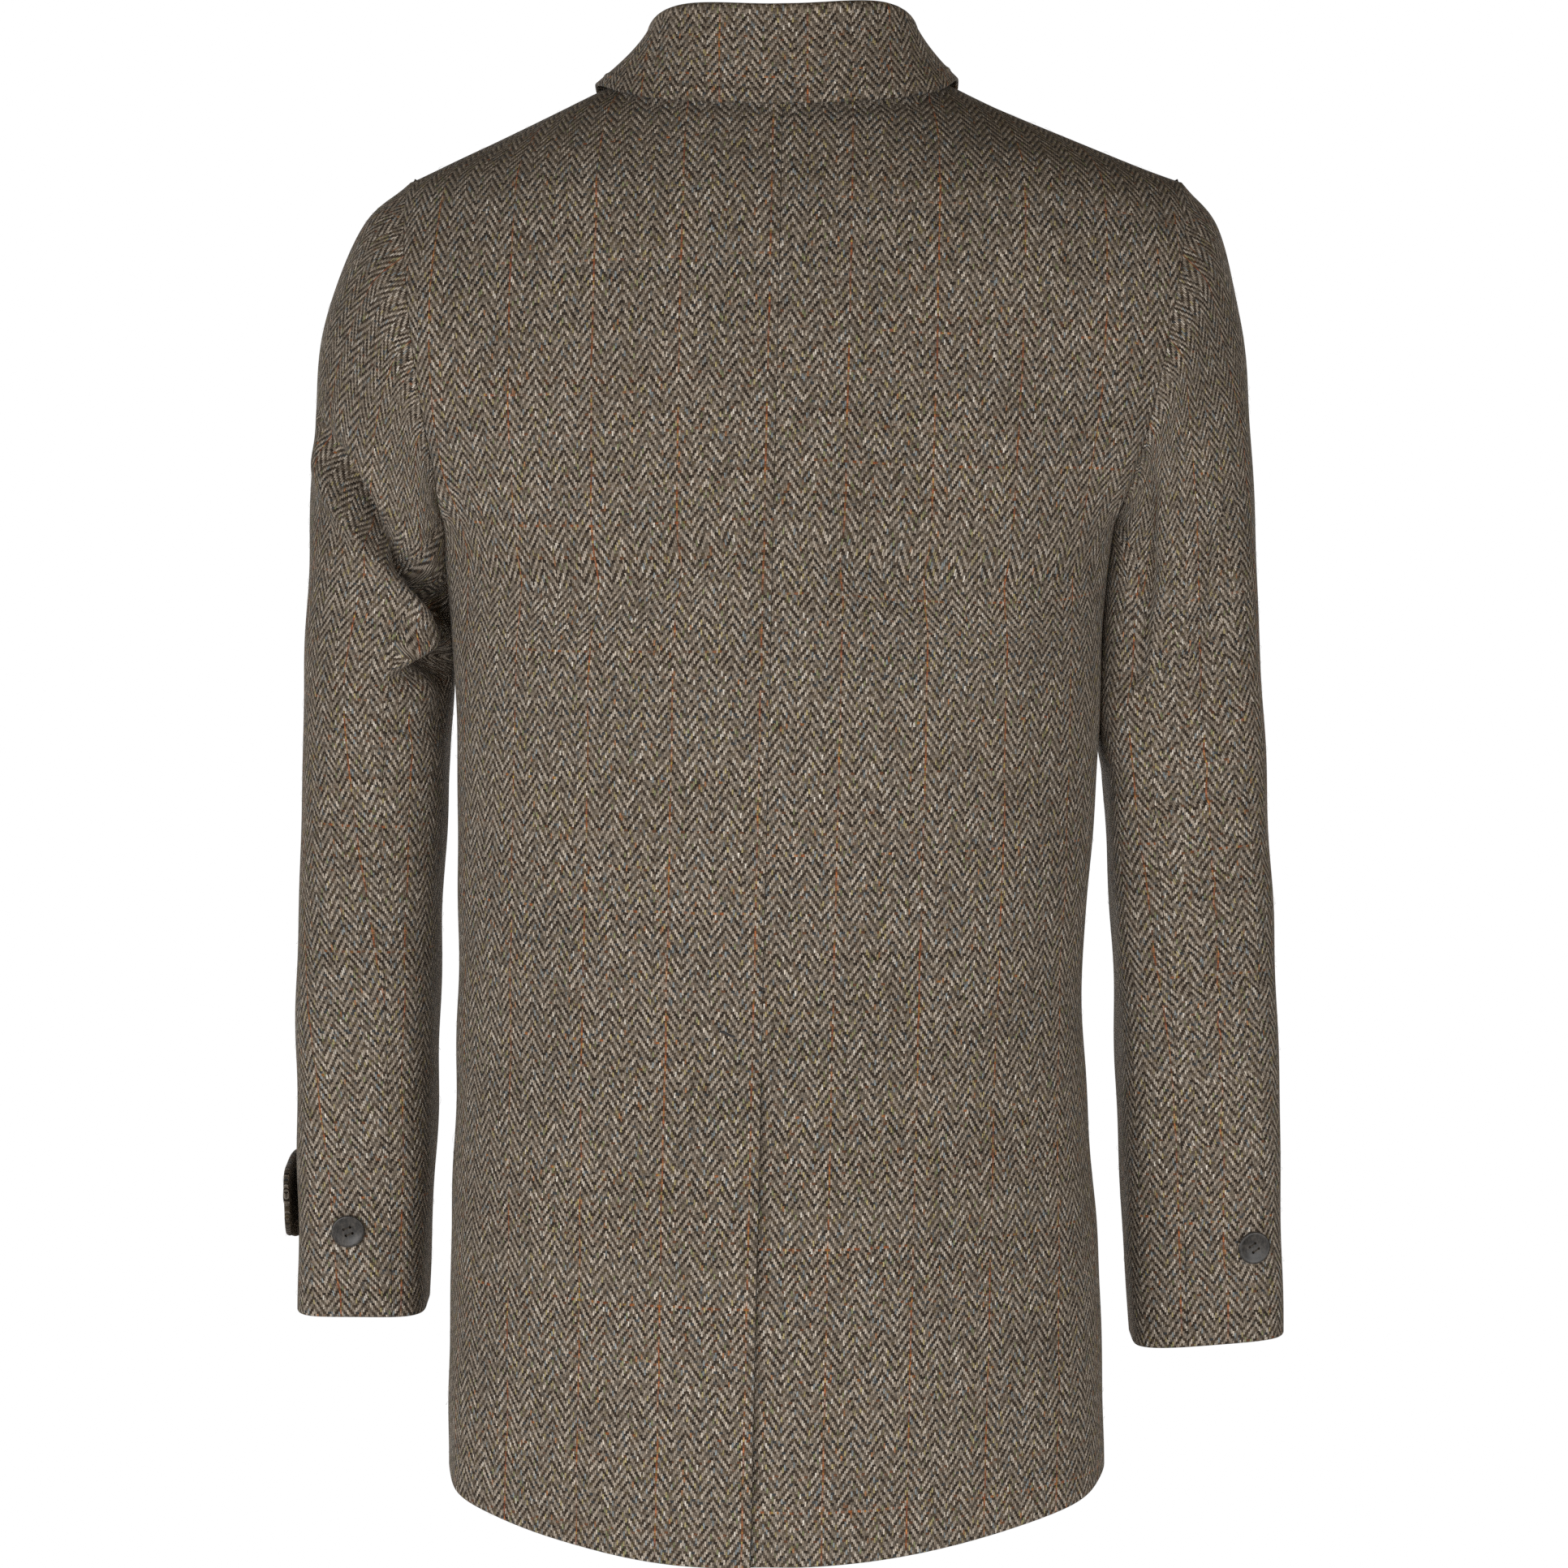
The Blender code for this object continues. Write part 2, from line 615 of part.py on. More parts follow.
def cuff_tab(side):
    """The strap on the cuff: it lies on the sleeve's own points, moved out, and its end is rounded."""
    tab = TABS[side]
    cuff = SLEEVES[side][-1].outer_height

    def place(u, v):
        around = mix(tab.start, tab.end, u)
        to_end = np.clip((u - 1 + TAB_CORNER) / TAB_CORNER, 0, 1)
        narrow = (1 - TAB_NARROWING * to_end**3) ** 0.5
        height = cuff + TAB_TOP - TAB_WIDTH * (0.5 + (0.5 - v) * narrow)
        along = np.vectorize(lambda a, h: sleeve_along(side, a, h))(around, height)
        spot, normal = sleeve_wall(side, around, along)
        clear = TAB_CLEAR + TAB_CLOTH + tab.lift * ease(u * 1.6 - 0.6)
        return spot + normal * clear[..., None], normal

    return place


def button(name, cloth_under, spot, normal, across, material, collection):
    """A turned button: a rim, a dished middle and a domed back, seated on the cloth under it."""
    r, t = across / 2, BUTTON_THICK
    outline = [
        (0.0, t * 0.62),
        (r * 0.52, t * 0.62),
        (r * 0.72, t * 0.95),
        (r * 0.88, t),
        (r, t * 0.66),
        (r * 0.92, t * 0.22),
        (0.0, 0.0),
    ]
    profile = bpy.data.meshes.new(name)
    profile.from_pydata([(x, 0, z) for x, z in outline], [(i, i + 1) for i in range(len(outline) - 1)], [])
    obj = bpy.data.objects.new(name, profile)
    obj.data.materials.append(material)
    collection.objects.link(obj)
    turned = obj.modifiers.new("turned", "SCREW")
    turned.steps = turned.render_steps = BUTTON_STEPS
    turned.use_merge_vertices = True
    turned.merge_threshold = 0.00005
    above, down = Vector(spot + normal * 0.02), Vector(-normal)
    _, seat, facing, _ = cloth_under.ray_cast(above, down)
    turn = facing.to_track_quat("Z", "Y").to_matrix().to_4x4()
    obj.matrix_world = Matrix.Translation(seat + facing * BUTTON_CLEAR) @ turn
    return obj


def dyed(name, colour, roughness):
    material = bpy.data.materials.new(name)
    material.use_nodes = True
    shader = material.node_tree.nodes["Principled BSDF"]
    shader.inputs["Base Color"].default_value = colour
    shader.inputs["Roughness"].default_value = roughness
    shader.inputs["Metallic"].default_value = 0.0
    return material


def add_panels(tweed, coat):
    rows = SKIRT_ROWS + ARMHOLE_ROWS + YOKE_ROWS
    panels = {
        "back_left": back_left,
        "back_right": back_right,
        "front_left": front_left,
        "front_right": front_right,
    }
    for name, place in panels.items():
        cloth(name, place, PANEL_COLUMNS, rows, tweed, coat)


def add_sleeves(tweed, coat):
    for side in SHOULDERS:
        cloth(f"sleeve_{side}_top", top_sleeve(side), TOP_SLEEVE_COLUMNS, SLEEVE_ROWS, tweed, coat)
        cloth(f"sleeve_{side}_under", under_sleeve(side), UNDER_SLEEVE_COLUMNS, SLEEVE_ROWS, tweed, coat)
        cloth(f"cuff_tab_{side}", cuff_tab(side), 10, 4, tweed, coat, TAB_CLOTH)


def add_collar(tweed, coat):
    def stand(u, v):
        return collar_wall(mix(-2, 2, u), v * STAND_TOP)

    def fall(u, v):
        return collar_wall(mix(-2, 2, u), mix(STAND_TOP, 2, v))

    cloth("collar_stand", stand, COLLAR_COLUMNS, 2, tweed, coat)
    cloth("collar_fall", fall, COLLAR_COLUMNS, 9, tweed, coat)


def add_buttons(horn, coat):
    bpy.context.view_layer.update()
    for place in CUFF_BUTTONS:
        along = sleeve_along(place.side, place.around, place.height)
        spot, normal = sleeve_wall(place.side, np.array(place.around), np.array(along))
        sleeve = coat.objects[f"sleeve_{place.side}_top"]
        button(f"cuff_button_{place.side}_back", sleeve, spot, normal, CUFF_BUTTON, horn, coat)
    for side, tab in TABS.items():
        u = (tab.button - tab.start) / (tab.end - tab.start)
        spot, normal = cuff_tab(side)(np.array([[u]]), np.array([[0.5]]))
        strap = coat.objects[f"cuff_tab_{side}"]
        button(f"cuff_button_{side}_tab", strap, spot[0, 0], normal[0, 0], CUFF_BUTTON, horn, coat)
    for count, height in enumerate(FRONT_BUTTON_HEIGHTS, start=1):
        level = np.interp(height, *front_middle_heights())
        spot, normal = body_wall("left", "front", np.array(0.0), np.array(level))
        button(f"front_button_{count}", coat.objects["front_left"], spot, normal, FRONT_BUTTON, horn, coat)


def front_middle_heights():
    """The heights of the front edge, bottom to top, and the levels that they are at."""
    levels = np.linspace(0, 3, 600)
    return body("left", "front", 0.0, levels)[:, 2], levels


def main():
    for obj in list(bpy.data.objects):
        bpy.data.objects.remove(obj)
    coat = bpy.data.collections.new("short_overcoat")
    bpy.context.scene.collection.children.link(coat)
    tweed = dyed("tweed", TWEED_BROWN, 0.95)
    horn = dyed("horn", HORN_GREY, 0.35)
    add_panels(tweed, coat)
    add_sleeves(tweed, coat)
    add_collar(tweed, coat)
    add_buttons(horn, coat)


main()
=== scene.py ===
# %% [markdown]
# # A short overcoat in herringbone tweed
#
# The coat is filled out as if it were worn, seen from behind, with nothing inside it.
# A packed CAD model gives the frame: every cut piece is already there as a plain solid.
# This lesson lays a finer shell of cloth on the form of each solid, with its folds,
# rolled edges and stitches, and weaves the tweed itself out of shader nodes.

# %% Load the frame
import json
import math
from collections import namedtuple

import bmesh
import bpy
import numpy as np
from mathutils import Matrix, Vector

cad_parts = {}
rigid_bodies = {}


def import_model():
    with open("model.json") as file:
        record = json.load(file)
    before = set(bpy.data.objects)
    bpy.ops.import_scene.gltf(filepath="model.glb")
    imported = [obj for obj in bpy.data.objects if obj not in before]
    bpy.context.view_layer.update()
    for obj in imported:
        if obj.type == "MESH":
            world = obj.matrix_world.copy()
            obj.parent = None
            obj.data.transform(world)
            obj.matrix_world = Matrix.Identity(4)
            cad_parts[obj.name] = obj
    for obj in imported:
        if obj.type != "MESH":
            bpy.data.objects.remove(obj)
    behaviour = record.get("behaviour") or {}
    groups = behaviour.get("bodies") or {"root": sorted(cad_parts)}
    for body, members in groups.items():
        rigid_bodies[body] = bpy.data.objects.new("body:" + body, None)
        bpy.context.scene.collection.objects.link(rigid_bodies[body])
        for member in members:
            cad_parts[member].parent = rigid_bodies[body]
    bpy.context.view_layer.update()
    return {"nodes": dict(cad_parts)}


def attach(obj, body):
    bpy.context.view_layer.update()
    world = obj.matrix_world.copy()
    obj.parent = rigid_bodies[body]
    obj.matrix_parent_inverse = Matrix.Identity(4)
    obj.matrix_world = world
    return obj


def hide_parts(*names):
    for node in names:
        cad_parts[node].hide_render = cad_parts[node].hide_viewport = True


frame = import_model()
scene = bpy.context.scene

# %% [markdown]
# ## Camera
#
# A catalogue picture is taken from far away with a long lens, so that the coat is not
# stretched by perspective. The camera stands 3 m behind the coat, a little above its
# middle, and looks slightly down. The focal length is given in pixels of the square
# picture, and Blender wants it in millimetres on a 36 mm sensor.

# %% Camera
PICTURE_SIDE = 1932
FOCAL_PIXELS = 6383.0
SENSOR = 36.0
CAMERA_PLACE = (0.0, 3.0, -0.181)
CAMERA_DIP = math.radians(4.434)

lens = bpy.data.cameras.new("camera")
lens.sensor_width = SENSOR
lens.lens = FOCAL_PIXELS / PICTURE_SIDE * SENSOR
camera = bpy.data.objects.new("camera", lens)
camera.location = CAMERA_PLACE
camera.rotation_euler = (math.pi / 2 - CAMERA_DIP, 0.0, math.pi)
scene.collection.objects.link(camera)
scene.camera = camera
print(f"camera: {lens.lens:.1f} mm lens")

# %% [markdown]
# ## Studio
#
# The backdrop is plain white and the light is soft. Two softboxes stand behind the coat, on
# the camera's side and low down, so that the shoulders get less light than the skirt and the
# sides of the body fall into shade. The left one is stronger. Two more light the front. The
# lamps are hidden from the camera, because other views look past them. The world is white
# where the camera looks straight at it, and much dimmer as a light. The floor is well below
# the hem, at the height where someone in the coat would stand.

# %% Softboxes
COAT_MIDDLE = Vector((0.0, 0.0, -0.50))
Softbox = namedtuple("Softbox", "name place width height watts")
SOFTBOXES = [
    Softbox("softbox_back_left", (1.07, 1.79, -0.66), 1.9, 0.9, 29.2),
    Softbox("softbox_back_right", (-1.15, 1.65, -0.66), 1.2, 0.9, 15.0),
    Softbox("softbox_front_left", (0.80, -2.80, 0.10), 1.4, 1.6, 38.0),
    Softbox("softbox_front_right", (-0.75, -2.80, 0.10), 1.4, 1.6, 30.0),
]
for box in SOFTBOXES:
    light = bpy.data.lights.new(box.name, "AREA")
    light.shape = "RECTANGLE"
    light.size = box.width
    light.size_y = box.height
    light.energy = box.watts
    lamp = bpy.data.objects.new(box.name, light)
    lamp.location = box.place
    lamp.rotation_euler = (COAT_MIDDLE - Vector(box.place)).to_track_quat("-Z", "Y").to_euler()
    lamp.visible_camera = False
    scene.collection.objects.link(lamp)
print("softboxes:", ", ".join(box.name for box in SOFTBOXES))


# %% Joining nodes
class Wiring:
    """Adds nodes to one tree and joins them, so that a formula reads from top to bottom."""

    def __init__(self, tree):
        self.tree = tree

    def add(self, kind, inputs=None, **settings):
        node = self.tree.nodes.new(kind)
        for name, value in settings.items():
            setattr(node, name, value)
        for socket, value in (inputs or {}).items():
            self.feed(node.inputs[socket], value)
        return node

    def feed(self, socket, value):
        if isinstance(value, bpy.types.NodeSocket):
            self.tree.links.new(value, socket)
        else:
            socket.default_value = value

    def math(self, operation, *values):
        return self.add("ShaderNodeMath", dict(enumerate(values)), operation=operation).outputs[0]

    def vectors(self, operation, first, second):
        return self.add("ShaderNodeVectorMath", {0: first, 1: second}, operation=operation).outputs[0]

    def blend(self, share, first, second):
        return self.add("ShaderNodeMix", {0: share, 6: first, 7: second}, data_type="RGBA").outputs[2]

    def between(self, share, first, second):
        return self.add("ShaderNodeMix", {0: share, 2: first, 3: second}).outputs[0]

    def vector(self, x=0.0, y=0.0, z=0.0):
        return self.add("ShaderNodeCombineXYZ", {0: x, 1: y, 2: z}).outputs[0]

    def noise(self, place, scale, detail=1.0, output=0):
        inputs = {"Vector": place, "Scale": scale, "Detail": detail}
        return self.add("ShaderNodeTexNoise", inputs).outputs[output]

    def bump(self, height, strength, distance):
        inputs = {"Height": height, "Strength": strength, "Distance": distance}
        return self.add("ShaderNodeBump", inputs).outputs[0]

    def span(self, value, *limits):
        """The value, stretched from one pair of limits to another."""
        return self.add("ShaderNodeMapRange", dict(enumerate((value, *limits)))).outputs[0]

    def chance(self, place):
        return self.add("ShaderNodeTexWhiteNoise", {"Vector": place}).outputs["Value"]

    def ramp(self, share, stops, steps=False):
        node = self.add("ShaderNodeValToRGB", {0: share})
        node.color_ramp.interpolation = "CONSTANT" if steps else "LINEAR"
        elements = node.color_ramp.elements
        while len(elements) < len(stops):
            elements.new(1.0)
        for element, (position, colour) in zip(elements, stops):
            element.position = position
            element.color = (*colour, 1.0)
        return node.outputs[0]


def new_material(name, roughness):
    """A material with a Principled shader, and the wiring of its nodes."""
    material = bpy.data.materials.new(name)
    material.use_nodes = True
    shader = material.node_tree.nodes["Principled BSDF"]
    shader.inputs["Roughness"].default_value = roughness
    return material, Wiring(material.node_tree), shader


def speckled(name, colours, roughness, scale, detail):
    """A material whose colour changes by chance from spot to spot."""
    material, wires, shader = new_material(name, roughness)
    here = wires.add("ShaderNodeTexCoord").outputs["Object"]
    chance = wires.noise(here, scale, detail)
    wires.feed(shader.inputs["Base Color"], wires.ramp(chance, colours))
    return material, wires, shader, chance


print("nodes are joined by", ", ".join(name for name in vars(Wiring) if not name.startswith("_")))


# %% Meshes and objects
def mesh_of(bm, name):
    """The mesh of a bmesh that is finished with."""
    mesh = bpy.data.meshes.new(name)
    bm.to_mesh(mesh)
    bm.free()
    return mesh


def add_object(name, mesh, material=None):
    """An object at the origin with this mesh, in the scene."""
    if material:
        mesh.materials.append(material)
    obj = bpy.data.objects.new(name, mesh)
    scene.collection.objects.link(obj)
    return obj


print("every object is added to", scene.collection.name)

# %% White backdrop and pale floor
WHITE = (1.0, 1.0, 1.0, 1.0)
BACKDROP_TINT = (1.0, 0.82, 0.58, 1.0)
BACKDROP_LIGHT = 0.12
FLOOR_HEIGHT = -1.45
FLOOR_RADIUS = 1.1
FLOOR_SIDES = 96
FLOOR_COLOURS = [(0.0, (0.78, 0.78, 0.77)), (1.0, (0.84, 0.84, 0.83))]

world = bpy.data.worlds.new("studio")
scene.world = world
world.use_nodes = True
world.node_tree.nodes.clear()
wires = Wiring(world.node_tree)
seen = wires.add("ShaderNodeBackground", {"Color": WHITE, "Strength": 1.0})
felt = wires.add("ShaderNodeBackground", {"Color": BACKDROP_TINT, "Strength": BACKDROP_LIGHT})
straight = wires.add("ShaderNodeLightPath").outputs["Is Camera Ray"]
either = wires.add("ShaderNodeMixShader", {0: straight, 1: felt.outputs[0], 2: seen.outputs[0]})
wires.add("ShaderNodeOutputWorld", {"Surface": either.outputs[0]})

pale = speckled("pale studio floor", FLOOR_COLOURS, roughness=0.7, scale=6.0, detail=3.0)[0]
disc = bmesh.new()
bmesh.ops.create_circle(disc, cap_ends=True, segments=FLOOR_SIDES, radius=FLOOR_RADIUS)
bmesh.ops.translate(disc, verts=disc.verts, vec=(0.0, 0.0, FLOOR_HEIGHT))
floor = add_object("studio_floor", mesh_of(disc, "studio_floor"), pale)
scene.view_settings.view_transform = "Standard"
scene.cycles.use_denoising = False
print("floor at", FLOOR_HEIGHT, "m")

# %% [markdown]
# ## The form of the body
#
# A tailor describes a body with a few girths and lengths. The tables below say the same
# thing as sections: how wide and how deep the coat is at some heights. Every row of the
# surface is a curve from the middle of the back (or front) to the side seam, then to the
# armhole, then to the shoulder seam. Most of the numbers are the CAD model's own, because
# the cloth has to lie where its solids are, and some are a few millimetres fuller.

# %% Small curves
CLOTH = 0.0022
SEAM = -0.0003


def smooth(x, xs, ys):
    """A smooth curve through the points (xs, ys), read at x."""
    xs, ys = np.asarray(xs, float), np.asarray(ys, float)
    slopes = np.gradient(ys, xs)
    i = np.clip(np.searchsorted(xs, x) - 1, 0, len(xs) - 2)
    span = xs[i + 1] - xs[i]
    f = np.clip((x - xs[i]) / span, 0, 1)
    rise = f * f * (3 - 2 * f)
    lift = f * (1 - f) ** 2 * slopes[i] - f * f * (1 - f) * slopes[i + 1]
    return ys[i] * (1 - rise) + ys[i + 1] * rise + span * lift


def read(table, column, x):
    """One column of a table, as a smooth curve over the table's first column."""
    return smooth(x, [row[0] for row in table], [getattr(row, column) for row in table])


def ease(x):
    """0 below 0, 1 above 1 and a soft step between them."""
    x = np.clip(x, 0, 1)
    return x * x * (3 - 2 * x)


def mix(a, b, f):
    return a + (b - a) * f


def points(x, y, z):
    return np.stack(np.broadcast_arrays(x, y, z), axis=-1).astype(float)


def unit(v):
    return v / np.maximum(np.linalg.norm(v, axis=-1, keepdims=True), 1e-12)


print("cloth is", CLOTH * 1000, "mm thick; pieces run", -SEAM * 1000, "mm into each other at seams")

# %% Sections of the body
HEM_BACK = -0.845
HEM_FRONT = -0.822
HEM_SIDE = -0.812
ARMPIT = -0.262
SHOULDER_BACK = -0.070
SHOULDER_FRONT = -0.150
NECK_BACK = -0.008
NECK_FRONT = -0.092
BACK_SEAM_DRIFT = 0.0225
SIDE_SEAM_Y = -0.004
MIDDLE_FULLNESS = 0.62
SIDE_FULLNESS = 0.56
NECK_FULLNESS = 0.56
ARMHOLE_TUCK = 0.24
HEM_DIP = 0.30
SOFTEN = 0.30
SOFT_FROM_LEVEL = 0.7
SOFT_RAMP = 0.30
NECK_RAMP = 0.35
SOFT_WEIGHTS = {-1.0: 1 / 9, -0.5: 2 / 9, 0.0: 3 / 9, 0.5: 2 / 9, 1.0: 1 / 9}
EDGE_STEP = 1e-3

Width = namedtuple("Width", "height left right")
WIDTHS = [
    Width(-0.845, 0.199, 0.189),
    Width(-0.725, 0.195, 0.185),
    Width(-0.640, 0.193, 0.180),
    Width(-0.520, 0.190, 0.1745),
    Width(-0.400, 0.190, 0.182),
    Width(-0.300, 0.190, 0.186),
    Width(-0.262, 0.190, 0.188),
]
Depth = namedtuple("Depth", "height depth")
BACK_DEPTHS = [
    Depth(-0.845, 0.137),
    Depth(-0.725, 0.132),
    Depth(-0.640, 0.125),
    Depth(-0.520, 0.108),
    Depth(-0.400, 0.110),
    Depth(-0.262, 0.121),
    Depth(-0.170, 0.119),
    Depth(-0.070, 0.101),
    Depth(-0.035, 0.083),
    Depth(-0.008, 0.062),
]
FRONT_DEPTHS = [
    Depth(-0.845, 0.142),
    Depth(-0.725, 0.137),
    Depth(-0.640, 0.131),
    Depth(-0.520, 0.123),
    Depth(-0.400, 0.127),
    Depth(-0.262, 0.131),
    Depth(-0.200, 0.123),
    Depth(-0.150, 0.108),
    Depth(-0.118, 0.091),
    Depth(-0.092, 0.072),
]
Shoulder = namedtuple(
    "Shoulder", "sign tip_out tip_height mid_out mid_height neck_out neck_height under_out")
SHOULDERS = {
    "left": Shoulder(1, 0.214, -0.066, 0.1510, -0.0362, 0.0875, -0.005, 0.190),
    "right": Shoulder(-1, 0.228, -0.066, 0.1500, -0.0362, 0.0845, -0.005, 0.188),
}
ARMHOLE_BACK = 0.070
ARMHOLE_FRONT = 0.074
ARMHOLE_TURN = 0.11
print("body:", len(WIDTHS), "widths and", len(BACK_DEPTHS), "depths")


# %% Armhole and sections
def armhole(side, angle, face):
    """The armhole seam: 0 is the shoulder tip, pi is under the arm. It lies in one plane."""
    cut = SHOULDERS[side]
    aside = (ARMHOLE_BACK if face == "back" else -ARMHOLE_FRONT) * np.sin(angle)
    out = mix(cut.under_out, cut.tip_out, (1 + np.cos(angle)) / 2) + ARMHOLE_TURN * aside
    height = mix(ARMPIT, cut.tip_height, (1 + np.cos(angle)) / 2)
    return points(cut.sign * out, SIDE_SEAM_Y + aside, height)


def section(side, face, share, level):
    """A point of the coat's sections. Share 0 is the middle and 1 the side. Level 0 is the hem, 1 the
    armpit, 2 the shoulder tip and 3 the neck."""
    cut = SHOULDERS[side]
    share, level = np.broadcast_arrays(np.asarray(share, float), np.asarray(level, float))
    skirt, arm, yoke = (np.clip(level - k, 0, 1) for k in range(3))
    turn = math.pi * (1 - arm)
    back = face == "back"
    hem = HEM_BACK if back else HEM_FRONT
    shoulder, neckline = (SHOULDER_BACK, NECK_BACK) if back else (SHOULDER_FRONT, NECK_FRONT)
    rise = (1 + np.cos(turn)) / 2
    middle_z = mix(hem, ARMPIT, skirt) + (shoulder - ARMPIT) * rise + (neckline - shoulder) * yoke
    middle_y = read(BACK_DEPTHS, "depth", middle_z) if back else -read(FRONT_DEPTHS, "depth", middle_z)
    middle_x = -BACK_SEAM_DRIFT * middle_z * back
    side_z = mix(HEM_SIDE, ARMPIT, skirt)
    side_end = points(cut.sign * read(WIDTHS, side, side_z), SIDE_SEAM_Y, side_z)
    on_arm = armhole(side, turn, face)
    a, b, c = (1 - yoke) ** 2, 2 * yoke * (1 - yoke), yoke**2
    bend_out = 2 * cut.mid_out - (cut.tip_out + cut.neck_out) / 2
    bend_z = 2 * cut.mid_height - (cut.tip_height + cut.neck_height) / 2
    seam_out = a * cut.tip_out + b * bend_out + c * cut.neck_out
    seam_z = a * cut.tip_height + b * bend_z + c * cut.neck_height
    on_seam = points(cut.sign * seam_out, SIDE_SEAM_Y, seam_z)
    row = level[..., None]
    end = np.where(row <= 1, side_end, np.where(row <= 2, on_arm, on_seam))
    corner_x = end[..., 0] * (1 - ARMHOLE_TUCK * np.sin(turn) * (level < 2))
    near = mix(MIDDLE_FULLNESS, NECK_FULLNESS, ease(level / 3))[..., None]
    far = mix(SIDE_FULLNESS, NECK_FULLNESS, ease(level / 3))[..., None]
    start = points(middle_x, middle_y, middle_z)
    leave = mix(start, points(corner_x, middle_y, middle_z), near)
    end_z = mix(end[..., 2], middle_z, HEM_DIP * (1 - skirt))
    arrive = mix(end, points(corner_x, middle_y, end_z), far)
    s = np.clip(share, 0, 1)[..., None]
    near_start = (1 - s) ** 3 * start + 3 * s * (1 - s) ** 2 * leave
    return near_start + 3 * s * s * (1 - s) * arrive + s**3 * end


print("shoulder tips at", [cut.sign * cut.tip_out for cut in SHOULDERS.values()])


# %% Body surface
def body(side, face, share, level):
    """A point of the coat's body: its sections, softened where the armhole and the shoulder start."""
    share, level = np.broadcast_arrays(np.asarray(share, float), np.asarray(level, float))
    soft = ease((level - SOFT_FROM_LEVEL) / SOFT_RAMP) * ease((3 - level) / NECK_RAMP)
    reach = SOFTEN * 4 * share * (1 - share) * soft
    parts = (weight * section(side, face, share, level + k * reach) for k, weight in SOFT_WEIGHTS.items())
    return sum(parts)


def outward(surface, u, v, middle, step=1e-4):
    """The direction out of a surface at (u, v), away from the line given by middle."""
    along = surface(u + step, v) - surface(u - step, v)
    up = surface(u, v + step) - surface(u, v - step)
    normal = unit(np.cross(along, up))
    away = (normal * (surface(u, v) - middle)).sum(axis=-1, keepdims=True)
    return np.where(away < 0, -normal, normal)


print("middle of the back at the armpit:", body("left", "back", 0.0, 1.0).round(3))

# %% [markdown]
# ## Drape
#
# A skirt of cloth does not hang as a cone: it swings out in a few soft flares and sinks
# between them, more so towards the hem. Each row of the table is one flare: where it is
# between the middle and the side seam, how wide it is and how far it stands out. A slow,
# shallow unevenness is added everywhere, because wool cloth is never quite flat.

# %% Flares and unevenness
Flare = namedtuple("Flare", "side face share reach depth top")
FLARES = [
    Flare("left", "back", 0.34, 0.16, -0.0035, -0.45),
    Flare("left", "back", 0.72, 0.12, 0.0040, -0.50),
    Flare("right", "back", 0.38, 0.15, -0.0030, -0.48),
    Flare("right", "back", 0.70, 0.13, 0.0045, -0.42),
    Flare("left", "front", 0.45, 0.15, -0.0045, -0.46),
    Flare("left", "front", 0.74, 0.12, 0.0045, -0.52),
    Flare("right", "front", 0.50, 0.14, -0.0040, -0.50),
    Flare("right", "front", 0.76, 0.11, 0.0040, -0.44),
]
UNDERARM_FULL = {"left": 0.0078, "right": 0.0020}
UNDERARM_HEIGHT = -0.272
UNDERARM_REACH = 0.050
UNDERARM_SHARE = 0.22
PRESS_DEPTH = 0.0020
PRESS_BELOW = 0.0020
PRESS_REACH = 0.0026
PRESS_ENDS = 0.95
PRESS_FADE = 0.012
PRESS_SAMPLES = 96
UNEVEN = 0.00030
SEAM_CALM = 0.06
ARMHOLE_CALM = 0.1
CORE_OUT = 0.55
CORE_DROP = 0.10
Ripple = namedtuple("Ripple", "x y z phase")
RIPPLES = [
    Ripple(31, 9, 17, 0.4),
    Ripple(-19, 27, 23, 1.9),
    Ripple(47, -33, -29, 3.1),
    Ripple(-71, 13, 61, 5.2),
    Ripple(23, 67, -83, 0.8),
]


def flared(side, face, share, level):
    """How far the skirt swings out or in at a point of the body."""
    height = mix(HEM_SIDE, ARMPIT, np.clip(level, 0, 1))
    swing = np.zeros(np.broadcast(share, level).shape)
    for flare in FLARES:
        if (flare.side, flare.face) == (side, face):
            across = np.exp(-(((share - flare.share) / flare.reach) ** 2))
            swing = swing + flare.depth * across * ease((flare.top - height) / (flare.top - HEM_SIDE))
    return swing


def uneven(spots):
    """A slow unevenness of the cloth, from a few crossing waves."""
    return UNEVEN * sum(np.sin(spots @ np.array(wave[:3]) + wave.phase) for wave in RIPPLES)


def collar_press(spot):
    """How far the edge of the collar presses the back in, just below it."""
    edge = collar_lines(np.linspace(-PRESS_ENDS, PRESS_ENDS, PRESS_SAMPLES))[2]
    below = np.interp(spot[..., 0], edge[:, 0], edge[:, 2]) - spot[..., 2]
    from_ends = (spot[..., 0] - edge[0, 0], edge[-1, 0] - spot[..., 0])
    ends = ease(from_ends[0] / PRESS_FADE) * ease(from_ends[1] / PRESS_FADE)
    return PRESS_DEPTH * ends * np.exp(-(((below - PRESS_BELOW) / PRESS_REACH) ** 2))


